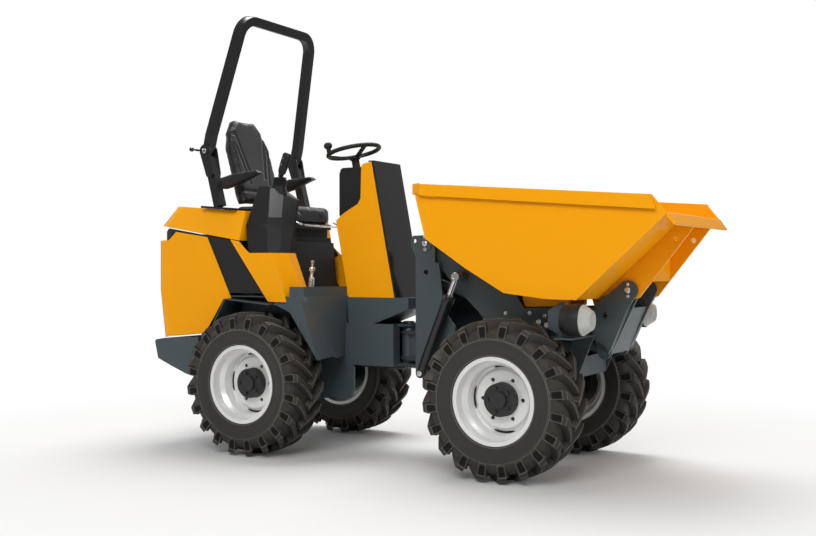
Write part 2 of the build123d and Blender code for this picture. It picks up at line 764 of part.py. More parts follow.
# ------------------------------------------------------------------ roll-over frame
tube = rops_tube / 2
hinge_gap = 4.0
hinge_radius = 40.0
with BuildPart() as rops_legs:
    for side in (1, -1):
        foot = Vector(rops_foot[0], side * rops_half, rops_foot[1])
        hinge = Vector(rops_hinge[0], side * rops_half, rops_hinge[1])
        along = (hinge - foot).normalized()
        with BuildSketch(Plane(origin=foot, x_dir=(0, 1, 0), z_dir=along)):
            Rectangle(rops_tube, rops_tube)
        extrude(amount=(hinge - foot).length - hinge_radius - 4)
        slope = Plane(
            origin=(cover_front_high[0], 0, cover_front_high[1]),
            x_dir=(cover_front_high[0] - cover_rear_high[0], 0, cover_front_high[1] - cover_rear_high[1]),
            z_dir=(cover_rear_high[1] - cover_front_high[1], 0, cover_front_high[0] - cover_rear_high[0]),
        )
        with BuildSketch(slope.offset(fit)):
            with Locations((rops_foot[0] - cover_front_high[0], side * (rops_half - 60))):
                Rectangle(230, 180)
        extrude(amount=12)
        with BuildSketch(Plane.XY.offset(floor_top + fit)):
            with Locations((rops_foot[0], side * 300)):
                Rectangle(70, 60)
        extrude(amount=rops_foot[1] - 6 - floor_top - fit)
        # hinge cheeks either side of the hoop's leg
        low = foot + along * ((hinge - foot).length - 130)
        for across in (side * (rops_half - tube) - side * 9.4, side * (rops_half + tube) + side * 0.4):
            with BuildSketch(side_plane(across)):
                with Locations((hinge.X, hinge.Z)):
                    Circle(hinge_radius - 4)
                with Locations((low.X, low.Z)):
                    Circle(26)
                make_hull()
            extrude(amount=-side * 9)
        with BuildSketch(side_plane(side * (rops_half - tube - 9.4))):
            with Locations((hinge.X, hinge.Z)):
                Circle(11)
        extrude(amount=-side * (rops_tube + 24))
        for across in (side * (rops_half - tube) - side * 9.4, side * (rops_half + tube) - side * 2):
            with BuildSketch(side_plane(across)):
                with Locations((low.X, low.Z)):
                    Circle(24)
            extrude(amount=-side * 11)
save(rops_legs.part, "rops_legs")

hoop_run = hypot(rops_top[0] - rops_hinge[0], rops_top[1] - rops_hinge[1])
hoop_plane = Plane(
    origin=(rops_hinge[0], 0, rops_hinge[1]),
    x_dir=(0, -1, 0),
    z_dir=(-(rops_top[1] - rops_hinge[1]), 0, rops_top[0] - rops_hinge[0]),
)
straight = 90.0               # upright part of each leg beside its hinge
lean = (rops_half - rops_top_half) / (hoop_run - straight)
top_inner = rops_top_half - tube + lean * rops_tube
with BuildPart() as rops_hoop:
    with BuildSketch(hoop_plane.offset(-tube)):
        with BuildLine():
            FilletPolyline(
                (-rops_half - tube, hinge_radius + 4), (-rops_half - tube, straight),
                (-rops_top_half - tube, hoop_run), (rops_top_half + tube, hoop_run),
                (rops_half + tube, straight), (rops_half + tube, hinge_radius + 4),
                (rops_half - tube, hinge_radius + 4), (rops_half - tube, straight),
                (top_inner, hoop_run - rops_tube), (-top_inner, hoop_run - rops_tube),
                (-rops_half + tube, straight), (-rops_half + tube, hinge_radius + 4),
                radius=(0, 0, hoop_radius, hoop_radius, 0, 0, 0, 0, hoop_radius - rops_tube,
                        hoop_radius - rops_tube, 0, 0), close=True,
            )
        make_face()
    extrude(amount=rops_tube)
    for side in (1, -1):
        with BuildSketch(side_plane(side * (rops_half + tube))):
            with Locations((rops_hinge[0], rops_hinge[1])):
                Circle(tube)
            with Locations((rops_hinge[0] + 23, rops_hinge[1] + 96)):
                Circle(24)
            make_hull()
            with Locations((rops_hinge[0], rops_hinge[1])):
                Circle(11 + running_gap, mode=Mode.SUBTRACT)
        extrude(amount=side * rops_tube)
save(rops_hoop.part, "rops_hoop")

# ------------------------------------------------------------------ front frame and mast
mast_outline = (
    (60, 443), (60, 1052), (33, 1112), (31, 1150), (46, 1166), (140, 1168), (173, 1150), (173, 1026),
    (197, 1023), (218, 855), (246, 753), (289, 698), (300, 600), (960, 570), (960, 470), (560, 470),
    (130, 440),
)
mast_rear_x = 70.0
with BuildPart() as mast_plates:
    for side in (1, -1):
        with BuildSketch(side_plane(side * mast_inner)):
            with BuildLine():
                Polyline(*mast_outline, close=True)
            make_face()
            with Locations((53, 1138)):
                Circle(11, mode=Mode.SUBTRACT)
            with Locations((121, 975)):
                Circle(14, mode=Mode.SUBTRACT)
        extrude(amount=-side * mast_plate)
        # skirt over the axle beam's rear, and the saddle on the axle's spring pad
        with BuildSketch(side_plane(side * mast_inner)):
            with BuildLine():
                Polyline((100, 470), (100, 382), (136, 382), (150, 470), close=True)
            make_face()
        extrude(amount=-side * mast_plate)
        with BuildSketch(Plane.XY.offset(axle_z + 20 + axle_tube + fit)):
            with Locations((front_axle_x, side * 193)):
                Rectangle(120, 34)
        extrude(amount=24)
        # lift pivot pin with its boss
        with BuildSketch(side_plane(side * 134)):
            with Locations(lift_pin):
                Circle(14)
        extrude(amount=-side * (mast_inner + mast_plate + 7 - 134))
        with BuildSketch(side_plane(side * (mast_inner + mast_plate - 1))):
            with Locations(lift_pin):
                Circle(40)
        extrude(amount=-side * 7)
        # lift cylinder foot
        with BuildSketch(side_plane(side * (mast_inner + mast_plate - 1))):
            with Locations(lift_foot):
                Circle(24)
        extrude(amount=-side * 16)
        with BuildSketch(side_plane(side * (mast_inner + mast_plate - 1))):
            with Locations(lift_foot):
                Circle(pin_radius)
        extrude(amount=-side * (lift_cyl_y + 22 - mast_inner - mast_plate))
save(mast_plates.part, "mast_plates")

with BuildPart() as front_frame:
    # rear wall, floor and nose between the mast plates
    for start, length, low, high in ((mast_rear_x, 8, 450, 1050), (948, 12, 472, 568)):
        with BuildSketch(Plane.YZ.offset(start)):
            with Locations((0, (low + high) / 2)):
                Rectangle(2 * (mast_inner - fit), high - low)
        extrude(amount=length)
    with BuildSketch(Plane.XY.offset(475)):
        with Locations((0.5 * (mast_rear_x + 960), 0)):
            Rectangle(960 - mast_rear_x, 2 * (mast_inner - fit))
    extrude(amount=10)
    # centre pivot: upright tube with two lugs and webs to the rear wall
    with BuildSketch(Plane.XY.offset(pivot_low + pivot_plate + running_gap)):
        with Locations((pivot_x, 0)):
            Circle(38)
            Circle(pivot_pin + running_gap, mode=Mode.SUBTRACT)
    extrude(amount=pivot_high - pivot_low - 2 * pivot_plate - 2 * running_gap)
    for low in (505, 645):
        with BuildSketch(Plane.XY.offset(low)):
            with Locations((pivot_x, 0)):
                Circle(48)
            with Locations((mast_rear_x - 1, 0)):
                Rectangle(4, 250)
            make_hull()
            with Locations((pivot_x, 0)):
                Circle(pivot_pin + running_gap, mode=Mode.SUBTRACT)
        extrude(amount=14)
    for side in (1, -1):
        with BuildSketch(side_plane(side * 30)):
            with BuildLine():
                Polyline((pivot_x + 26, 505), (mast_rear_x + 1, 505), (mast_rear_x + 1, 659),
                         (pivot_x + 26, 659), close=True)
            make_face()
        extrude(amount=-side * 12)
    # lower link lugs behind the links
    link_pin = (lift_pin[0] + link_drop[0], lift_pin[1] + link_drop[1])
    for side in (1, -1):
        for across in (98, 74):
            with BuildSketch(side_plane(side * across)):
                with Locations(link_pin):
                    Circle(20)
                with Locations((mast_rear_x + 6, link_pin[1])):
                    Rectangle(8, 70)
                make_hull()
            extrude(amount=-side * 10)
        with BuildSketch(side_plane(side * 76)):
            with Locations(link_pin):
                Circle(pin_radius)
        extrude(amount=-side * 32)
        with BuildSketch(Plane.YZ.offset(mast_rear_x - 1)):
            with Locations((side * 91, link_pin[1])):
                Rectangle(14, 72)
        extrude(amount=12, mode=Mode.SUBTRACT)
    # steering cylinder arm under the pivot, on the left
    with BuildSketch(Plane.XY.offset(456)):
        with Locations((pivot_x + 30, 175)):
            Circle(25)
        with Locations((mast_rear_x + 6, 125)):
            Rectangle(10, 80)
        make_hull()
    extrude(amount=10)
save(front_frame.part, "front_frame")

with BuildPart() as lamp_brackets:
    for side in (1, -1):
        with BuildSketch(side_plane(side * (mast_inner + mast_plate + fit))):
            with BuildLine():
                Polyline((900, 480), (960, 480), (1040, 672), (1040, 680), (945, 680), (930, 640),
                         (900, 540), close=True)
            make_face()
        extrude(amount=-side * 9)
        with BuildSketch(Plane.XY.offset(672)):
            with BuildLine():
                Polyline((945, side * (mast_inner + mast_plate + fit)), (1040, side * (mast_inner + mast_plate + fit)), (1040, side * 492), (955, side * 492),
                         (945, side * 470), close=True)
            make_face()
        extrude(amount=8)
        with BuildSketch(side_plane(side * 398)):
            with BuildLine():
                Polyline((889, 718), (938, 690), (946, 674), (973, 674), (973, 840), (950, 840), (889, 800),
                         close=True)
            make_face()
        extrude(amount=-side * 5)
save(lamp_brackets.part, "lamp_brackets")

lamp_y = 456.0
with BuildPart() as headlights:
    for side in (1, -1):
        with BuildSketch(Plane.YZ.offset(986)):
            with Locations((side * lamp_y, 762)):
                Circle(58)
        with BuildSketch(Plane.YZ.offset(1030)):
            with Locations((side * lamp_y, 762)):
                Circle(76)
        loft()
        with BuildSketch(Plane.YZ.offset(1030)):
            with Locations((side * lamp_y, 762)):
                Circle(76)
        extrude(amount=53)
        with BuildSketch(Plane.YZ.offset(1083)):
            with Locations((side * lamp_y, 762)):
                Circle(70)
        with BuildSketch(Plane.YZ.offset(1128)):
            with Locations((side * lamp_y, 762)):
                Circle(42)
        loft()
        with BuildSketch(Plane.XY.offset(680 + fit)):
            with Locations((1012, side * lamp_y)):
                Rectangle(44, 36)
        extrude(amount=40)
save(headlights.part, "headlights")

# ------------------------------------------------------------------ lift arm
arm_outline = (
    (150, 1162), (262, 1105), (476, 965), (600, 880), (655, 800), (1090, 813), (1090, 733), (720, 690),
    (565, 650), (445, 740), (280, 893), (180, 1010), (90, 1088),
)
arm_inner = arm_outer - arm_plate
pivot_bore = 14.0 + running_gap
with BuildPart() as lift_arm:
    for side in (1, -1):
        with BuildSketch(side_plane(side * arm_inner)):
            with BuildLine():
                Polyline(*arm_outline, close=True)
            make_face()
            with Locations(lift_pin):
                Circle(45)
            with Locations(arm_front_pin):
                Circle(40)
            with Locations(lift_pin, arm_front_pin):
                Circle(pivot_bore, mode=Mode.SUBTRACT)
        extrude(amount=-side * arm_plate)
        with BuildSketch(side_plane(side * (arm_outer - 1))):
            with Locations(lift_pin):
                Circle(30)
                Circle(pivot_bore, mode=Mode.SUBTRACT)
        extrude(amount=-side * (mast_inner - arm_outer + 1 - running_gap))
        with BuildSketch(side_plane(side * (arm_outer - 1))):
            with Locations(lift_eye):
                Circle(26)
        extrude(amount=-side * (lift_cyl_y - 16 - 2 * running_gap - arm_outer + 1))
    for centre in ((445, 940), (250, 1050)):
        with BuildSketch(side_plane(0)):
            with Locations(centre):
                Circle(28)
                Circle(20, mode=Mode.SUBTRACT)
        extrude(amount=arm_inner + 1, both=True)
save(lift_arm.part, "lift_arm")

# ------------------------------------------------------------------ carriage
low_pin = (arm_front_pin[0] + link_drop[0], arm_front_pin[1] + link_drop[1])
carriage_outline = ((1162, 925), (1039, 824), (1018, 663), (1090, 622), (1101, 588), (1196, 808), (1240, 880))
with BuildPart() as carriage:
    for side in (1, -1):
        for inner, thick in ((158, carriage_plate), (120, carriage_plate)):
            with BuildSketch(side_plane(side * inner)):
                with BuildLine():
                    Polyline(*carriage_outline, close=True)
                make_face()
                with Locations(skip_pin):
                    Circle(ear_radius)
                if inner == 120:
                    with Locations(low_pin):
                        Circle(30)
                    with Locations((1075, 660)):
                        Circle(30)
                    make_hull()
            extrude(amount=-side * thick)
        # skip pins, arm pins and lower link pins
        for centre, start, stop, radius in ((skip_pin, 112, 176, 14), (arm_front_pin, 112, 174, 14),
                                            (low_pin, 50, 140, pin_radius)):
            with BuildSketch(side_plane(side * start)):
                with Locations(centre):
                    Circle(radius)
            extrude(amount=-side * (stop - start))
    # front plate, chamfered at its lower corners
    front_len = hypot(1196 - 1101, 808 - 588)
    front_plane = Plane(origin=(1101, 0, 588), x_dir=(0, 1, 0), z_dir=(808 - 588, 0, -(1196 - 1101)))
    with BuildSketch(front_plane):
        with BuildLine():
            Polyline((-130, 0), (130, 0), (170, 45), (170, front_len), (-170, front_len), (-170, 45),
                     close=True)
        make_face()
    extrude(amount=-9)
    # tongue that carries the tip cylinder's foot
    for side in (1, -1):
        with BuildSketch(side_plane(side * 45)):
            with Locations(tip_foot):
                Circle(32)
            with Locations((1040, 672)):
                Circle(72)
            make_hull()
            with BuildLine():
                Polyline((1040, 600), (1100, 600), (1165, 756), (1040, 744), close=True)
            make_face()
        extrude(amount=-side * 12)
        with BuildSketch(side_plane(side * 56)):
            with Locations((1050, 700)):
                Circle(26)
        extrude(amount=-side * 66)
    with BuildSketch(side_plane(-50)):
        with Locations(tip_foot):
            Circle(pin_radius)
    extrude(amount=-100)
save(carriage.part, "carriage")

with BuildPart() as lower_links:
    for side in (1, -1):
        with BuildSketch(side_plane(side * 85)):
            with Locations(link_pin, low_pin):
                Circle(20)
            make_hull()
            with Locations(link_pin, low_pin):
                Circle(pin_radius + running_gap, mode=Mode.SUBTRACT)
        extrude(amount=-side * 12)
save(lower_links.part, "lower_links")

# ------------------------------------------------------------------ skip
rear_rim = (190.0, 1414.0)
front_rim = (1401.0, 1322.0)
floor_line = ((190, 1414), (262, 1142), (483, 997), (686, 880), (896, 855), (1047, 852), (1469, 1240))
lip_tip = (1507.0, 1191.0)


def inset_path(points, distance):
    """The open path moved to its left by a distance, its corners kept sharp."""
    moved = []
    for index, (x, z) in enumerate(points):
        normals = []
        for a, b in ((index - 1, index), (index, index + 1)):
            if a >= 0 and b < len(points):
                dx = points[b][0] - points[a][0]
                dz = points[b][1] - points[a][1]
                length = hypot(dx, dz)
                normals.append((-dz / length, dx / length))
        nx = sum(n[0] for n in normals) / len(normals)
        nz = sum(n[1] for n in normals) / len(normals)
        scale = distance / (nx * nx + nz * nz)
        moved.append((x + nx * scale, z + nz * scale))
    return moved


side_wall = 4.0
corner_cut = (
    # the skip's rear rim corners are cut off slantwise (X, |Y|)
    (100, 375), (186, 433), (242, 471), (242, 600), (100, 600),
)
inside = inset_path(floor_line, skip_wall)
with BuildPart() as skip:
    # bent floor sheet between the side plates
    with BuildSketch(side_plane(0)):
        with BuildLine():
            Polyline(*floor_line, *reversed(inside), close=True)
        make_face()
    extrude(amount=skip_half - side_wall - fit, both=True)
    for side in (1, -1):
        with BuildSketch(Plane.XY.offset(1360)):
            with BuildLine():
                Polyline(*[(x + fit, side * (y - fit)) for x, y in corner_cut], close=True)
            make_face()
        extrude(amount=100, mode=Mode.SUBTRACT)
    # pouring lip
    with BuildSketch(side_plane(0)):
        with BuildLine():
            Polyline((1462, 1243), (1471, 1243), lip_tip, (1500, 1186), (1464, 1225), close=True)
        make_face()
    extrude(amount=skip_half - side_wall - fit, both=True)
save(skip.part, "skip")

with BuildPart() as skip_sides:
    for side in (1, -1):
        with BuildSketch(side_plane(side * (skip_half - side_wall))):
            with BuildLine():
                Polyline(*floor_line, front_rim, close=True)
            make_face()
        extrude(amount=-side * side_wall)
        with BuildSketch(Plane.XY.offset(1360)):
            with BuildLine():
                Polyline(*[(x + fit, side * (y - fit)) for x, y in corner_cut], close=True)
            make_face()
        extrude(amount=100, mode=Mode.SUBTRACT)
save(skip_sides.part, "skip_sides")

rim_low = ((350, 1345), (1424, 1257))
with BuildPart() as skip_rim:
    # channel along both sides
    for side in (1, -1):
        with BuildSketch(side_plane(side * (skip_half + fit))):
            with BuildLine():
                Polyline(rear_rim, (200, 1362), (300, 1346), *rim_low, front_rim, close=True)
            make_face()
        extrude(amount=-side * rim_lip)
        with BuildSketch(side_plane(side * skip_half)):
            with BuildLine():
                Polyline((150, 1410), (150, 1330), (300, 1330), (345, 1330), (1431, 1243),
                         (1398, 1318), close=True)
            make_face()
        extrude(amount=-side * (rim_lip - 4), mode=Mode.SUBTRACT)
        with BuildSketch(Plane.XY.offset(1300)):
            with BuildLine():
                Polyline((100, side * 385), (182, side * 437), (242, side * 478), (242, side * 600),
                         (100, side * 600), close=True)
            make_face()
        extrude(amount=200, mode=Mode.SUBTRACT)
    # rear band with its slanting ends
    with BuildSketch(Plane.XY.offset(1362)):
        with BuildLine():
            Polyline((182, 437), (236, 474), (236, 470), (240, 470), (186, 433.5), (186, -433.5),
                     (240, -470), (236, -470), (236, -474), (182, -437), close=True)
        make_face()
    extrude(amount=52)
save(skip_rim.part, "skip_rim")

bearer_inner = 98.0
with BuildPart() as skip_ribs:
    # ribs under the pouring slope, with the pivot ears
    for side in (1, -1):
        with BuildSketch(side_plane(side * (rib_outer - rib_plate))):
            with BuildLine():
                Polyline((1062, 865 - fit), (1469, 1239 - fit), (1499, 1184), (1245, 858), (1196, 846),
                         (1150, 880), close=True)
            make_face()
            with Locations(skip_pin):
                Circle(ear_radius)
            with Locations(skip_pin):
                Circle(pivot_bore, mode=Mode.SUBTRACT)
            with Locations((1420, 1131)):
                Circle(13, mode=Mode.SUBTRACT)
        extrude(amount=-side * rib_plate)
    with BuildSketch(Plane.YZ.offset(1300)):
        with Locations((0, 1010)):
            Rectangle(2 * rib_outer - 4, 150)
    extrude(amount=8)
    # everything above the underside of the floor sheet is cut away
    with BuildSketch(side_plane(0)):
        with BuildLine():
            Polyline((1047, 852 - fit), (1469 + fit, 1240 - fit), lip_tip, (1600, 1300), (1000, 1300),
                     (1000, 852 - fit), close=True)
        make_face()
    extrude(amount=skip_half, both=True, mode=Mode.SUBTRACT)
    # room for the pouring lip in front
    with BuildSketch(side_plane(0)):
        with BuildLine():
            Polyline((1461.6, 1244), (1461.6, 1224.4), (1499.6, 1185.2), (1520, 1185.2), (1520, 1244),
                     close=True)
        make_face()
    extrude(amount=skip_half, both=True, mode=Mode.SUBTRACT)
save(skip_ribs.part, "skip_ribs")

with BuildPart() as skip_bearers:
    # long bearers that rest on the lift arm, with the tip cylinder's two lugs on a cross plate
    for side in (1, -1):
        with BuildSketch(side_plane(side * 130)):
            with BuildLine():
                Polyline((640, 905), (686, 879 - fit), (880, 855 - fit), (880, 812), (655, 805), (640, 840),
                         close=True)
            make_face()
        extrude(amount=side * (130 - bearer_inner))
        with BuildSketch(side_plane(side * 17)):
            with Locations(tip_eye):
                Circle(25)
            with BuildLine():
                Polyline((965, 851), (1052, 851), (1032, 780), (988, 780), close=True)
            make_face()
            with Locations(tip_eye):
                Circle(eye_bore, mode=Mode.SUBTRACT)
        extrude(amount=-side * 12)
        with BuildSketch(side_plane(side * 17)):
            with BuildLine():
                Polyline((858, 857 - fit), (896, 854 - fit), (1040, 851.5 - fit), (1040, 843), (858, 847),
                         close=True)
            make_face()
        extrude(amount=-side * 23)
    with BuildSketch(side_plane(0)):
        with BuildLine():
            Polyline((840, 858 - fit), (880, 855 - fit), (880, 846), (840, 849), close=True)
        make_face()
    extrude(amount=bearer_inner + 4, both=True)
save(skip_bearers.part, "skip_bearers")

# ------------------------------------------------------------------ hydraulic cylinders
lift_end = (322.0, 953.0)


def cylinder_pair(foot, eye, width, bore_radius, barrel_radius, rod_radius, eye_width, barrel_length):
    """Barrel and rod lying from foot to eye in the upright plane at the given width."""
    length = hypot(eye[0] - foot[0], eye[1] - foot[1])
    toward = Plane(origin=(foot[0], width, foot[1]), x_dir=(0, 1, 0),
                   z_dir=(eye[0] - foot[0], 0, eye[1] - foot[1]))
    with BuildPart() as barrel:
        with BuildSketch(side_plane(width + eye_width / 2)):
            with Locations(foot):
                Circle(eye_radius - 2)
        extrude(amount=eye_width)
        with BuildSketch(toward.offset(12)):
            Circle(barrel_radius)
        extrude(amount=barrel_length - 12)
        with BuildSketch(toward.offset(barrel_length - 40)):
            Circle(barrel_radius + 4)
        extrude(amount=40)
        with BuildSketch(toward.offset(30)):
            Circle(rod_radius + 1)
        extrude(amount=barrel_length, mode=Mode.SUBTRACT)
        with BuildSketch(side_plane(width + eye_width / 2 + 40)):
            with Locations(foot):
                Circle(bore_radius)
        extrude(amount=eye_width + 80, mode=Mode.SUBTRACT)
    with BuildPart() as rod:
        with BuildSketch(toward.offset(44)):
            Circle(rod_radius)
        extrude(amount=length - 44 - 18)
        with BuildSketch(side_plane(width + eye_width / 2)):
            with Locations(eye):
                Circle(eye_radius - 5)
        extrude(amount=eye_width)
    return barrel.part, rod.part


lift_left = cylinder_pair(lift_foot, lift_eye, lift_cyl_y, eye_bore, 28, 16, 32, 430)
lift_right = cylinder_pair(lift_foot, lift_eye, -lift_cyl_y, eye_bore, 28, 16, 32, 430)
for index, name in ((0, "lift_barrels"), (1, "lift_rods")):
    save(Compound(children=[lift_left[index], lift_right[index]]), name)
tip_pair = cylinder_pair(tip_foot, tip_eye, 0, eye_bore, 30, 14, 28, 315)
save(tip_pair[0], "tip_barrel")
save(tip_pair[1], "tip_rod")

steer_foot = (-520.0, 195.0)
steer_eye = (pivot_x + 30.0, 175.0)
steer_z = 445.0
steer_length = hypot(steer_eye[0] - steer_foot[0], steer_eye[1] - steer_foot[1])
steer_plane = Plane(origin=(steer_foot[0], steer_foot[1], steer_z), x_dir=(0, 0, 1),
                    z_dir=(steer_eye[0] - steer_foot[0], steer_eye[1] - steer_foot[1], 0))
with BuildPart() as steer_barrel:
    with BuildSketch(Plane.XY.offset(steer_z - 10.5)):
        with Locations(steer_foot):
            Circle(20)
    extrude(amount=21)
    with BuildSketch(steer_plane.offset(12)):
        Circle(18)
    extrude(amount=300)
    with BuildSketch(steer_plane.offset(40)):
        Circle(10 + 1)
    extrude(amount=300, mode=Mode.SUBTRACT)
    with BuildSketch(Plane.XY.offset(steer_z - 30)):
        with Locations(steer_foot):
            Circle(eye_bore)
    extrude(amount=60, mode=Mode.SUBTRACT)
save(steer_barrel.part, "steer_barrel")
with BuildPart() as steer_rod:
    with BuildSketch(steer_plane.offset(160)):
        Circle(10)
    extrude(amount=steer_length - 160 - 16)
    with BuildSketch(Plane.XY.offset(steer_z - 10.5)):
        with Locations(steer_eye):
            Circle(20)
    extrude(amount=21)
save(steer_rod.part, "steer_rod")
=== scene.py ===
"""Looks of the articulated site dumper: materials, fine detail, soft pieces, light and camera."""

import math

import bmesh
import bpy
from mathutils import Matrix, Vector


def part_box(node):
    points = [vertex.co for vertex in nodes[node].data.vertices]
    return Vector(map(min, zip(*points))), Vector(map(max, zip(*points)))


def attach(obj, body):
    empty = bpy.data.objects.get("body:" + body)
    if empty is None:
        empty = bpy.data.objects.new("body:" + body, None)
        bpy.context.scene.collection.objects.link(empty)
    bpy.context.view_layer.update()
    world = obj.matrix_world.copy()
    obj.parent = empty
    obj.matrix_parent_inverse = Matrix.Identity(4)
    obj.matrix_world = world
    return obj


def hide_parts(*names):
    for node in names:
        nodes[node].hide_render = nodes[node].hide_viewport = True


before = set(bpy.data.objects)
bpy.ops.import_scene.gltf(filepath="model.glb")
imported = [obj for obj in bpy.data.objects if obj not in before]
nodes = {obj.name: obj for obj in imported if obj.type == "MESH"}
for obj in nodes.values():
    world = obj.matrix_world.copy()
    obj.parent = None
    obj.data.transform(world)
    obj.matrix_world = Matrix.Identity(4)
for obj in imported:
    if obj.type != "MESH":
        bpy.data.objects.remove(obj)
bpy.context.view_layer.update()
scene = bpy.context.scene
scene.view_settings.view_transform = "Standard"

WHITE = (1, 1, 1, 1)
CORNERS = ("front_left", "front_right", "rear_left", "rear_right")

# ---------------------------------------------------------------- camera, light, floor
# camera fitted to the photograph: metres, degrees and millimetres
CAMERA_AT = (2.8758, -5.1393, 1.0083)
CAMERA_PITCH = -0.11
CAMERA_TURN = 30.04
LENS = 48.26
SENSOR = 36.0
CAMERA_REACH = 200.0
WORLD_LIGHT = 0.26
FLOOR_HALF = 40.0
FLOOR_SHADE = (0.72, 0.72, 0.715, 1)
# the floor fades to plain white between these distances from the machine's middle
FLOOR_FADE = (1.2, 3.5)
FLOOR_LIFT = 0.02


def look_at(obj, target):
    direction = Vector(target) - obj.location
    obj.rotation_euler = direction.to_track_quat("-Z", "Y").to_euler()


cam_data = bpy.data.cameras.new("camera")
cam_data.lens = LENS
cam_data.sensor_width = SENSOR
cam_data.clip_end = CAMERA_REACH
camera = bpy.data.objects.new("camera", cam_data)
scene.collection.objects.link(camera)
camera.location = CAMERA_AT
camera.rotation_euler = (math.radians(90.0 + CAMERA_PITCH), 0.0, math.radians(CAMERA_TURN))
scene.camera = camera


def area_light(name, location, target, size, power):
    """White rectangle of light: places and size in metres, power in watts."""
    data = bpy.data.lights.new(name, "AREA")
    data.shape = "RECTANGLE"
    data.size, data.size_y = size
    data.energy = power
    obj = bpy.data.objects.new(name, data)
    scene.collection.objects.link(obj)
    obj.location = location
    look_at(obj, target)


area_light("key", (2.0, -6.0, 5.0), (0.0, 0.0, 0.9), (4.5, 3.0), 270)
area_light("front_fill", (7.0, -0.5, 2.6), (0.6, 0.0, 0.9), (4.0, 3.0), 95)
area_light("rear_fill", (-6.5, -2.0, 3.0), (-0.6, 0.0, 0.9), (3.5, 3.0), 70)
area_light("top", (-1.0, 1.8, 6.0), (0.0, 0.0, 0.5), (4.0, 3.2), 330)
area_light("far_side", (-1.0, 6.5, 3.5), (0.0, 0.0, 0.9), (4.0, 3.0), 90)


def new_tree(name):
    mat = bpy.data.materials.new(name)
    mat.use_nodes = True
    tree = mat.node_tree
    tree.nodes.clear()
    return mat, tree


def add(tree, kind, settings=None, **inputs):
    """New shader node. Inputs are set by name, with an underscore where the name has a space."""
    node = tree.nodes.new("ShaderNode" + kind)
    for key, value in (settings or {}).items():
        setattr(node, key, value)
    for key, value in inputs.items():
        node.inputs[key.replace("_", " ")].default_value = value
    return node


def link(tree, a, b):
    tree.links.new(a, b)


def make_world():
    """Even light from all round. The camera, and what it sees through glass, gets plain white."""
    world = bpy.data.worlds.new("studio")
    scene.world = world
    world.use_nodes = True
    tree = world.node_tree
    tree.nodes.clear()
    out = add(tree, "OutputWorld")
    mix = add(tree, "MixShader")
    path = add(tree, "LightPath")
    light = add(tree, "Background", Color=WHITE, Strength=WORLD_LIGHT)
    plain = add(tree, "Background", Color=WHITE, Strength=1.0)
    seen = add(tree, "Math", {"operation": "MAXIMUM"})
    link(tree, path.outputs["Is Camera Ray"], seen.inputs[0])
    link(tree, path.outputs["Is Transmission Ray"], seen.inputs[1])
    link(tree, seen.outputs[0], mix.inputs[0])
    link(tree, light.outputs[0], mix.inputs[1])
    link(tree, plain.outputs[0], mix.inputs[2])
    link(tree, mix.outputs[0], out.inputs["Surface"])


def make_floor():
    """White floor that takes shadows near the machine and is plain white to the camera further out."""
    mesh = bpy.data.meshes.new("studio_floor")
    bm = bmesh.new()
    bmesh.ops.create_grid(bm, x_segments=2, y_segments=2, size=FLOOR_HALF)
    bm.to_mesh(mesh)
    bm.free()
    obj = bpy.data.objects.new("studio_floor", mesh)
    scene.collection.objects.link(obj)
    mat, tree = new_tree("floor_white")
    out = add(tree, "OutputMaterial")
    diffuse = add(tree, "BsdfDiffuse", Color=FLOOR_SHADE)
    glow = add(tree, "Emission", Color=WHITE, Strength=1.0)
    lift = add(tree, "Emission", Color=WHITE)
    path = add(tree, "LightPath")
    geo = add(tree, "NewGeometry")
    length = add(tree, "VectorMath", {"operation": "LENGTH"})
    ramp = add(tree, "MapRange", From_Min=FLOOR_FADE[0], From_Max=FLOOR_FADE[1])
    far = add(tree, "Math", {"operation": "MULTIPLY"})
    lift_on = add(tree, "Math", {"operation": "MULTIPLY"})
    lift_on.inputs[1].default_value = FLOOR_LIFT
    near = add(tree, "AddShader")
    mix = add(tree, "MixShader")
    link(tree, geo.outputs["Position"], length.inputs[0])
    link(tree, length.outputs["Value"], ramp.inputs["Value"])
    link(tree, ramp.outputs[0], far.inputs[0])
    link(tree, path.outputs["Is Camera Ray"], far.inputs[1])
    link(tree, path.outputs["Is Camera Ray"], lift_on.inputs[0])
    link(tree, lift_on.outputs[0], lift.inputs["Strength"])
    link(tree, diffuse.outputs[0], near.inputs[0])
    link(tree, lift.outputs[0], near.inputs[1])
    link(tree, far.outputs[0], mix.inputs[0])
    link(tree, near.outputs[0], mix.inputs[1])
    link(tree, glow.outputs[0], mix.inputs[2])
    link(tree, mix.outputs[0], out.inputs["Surface"])
    mesh.materials.append(mat)


make_world()
make_floor()


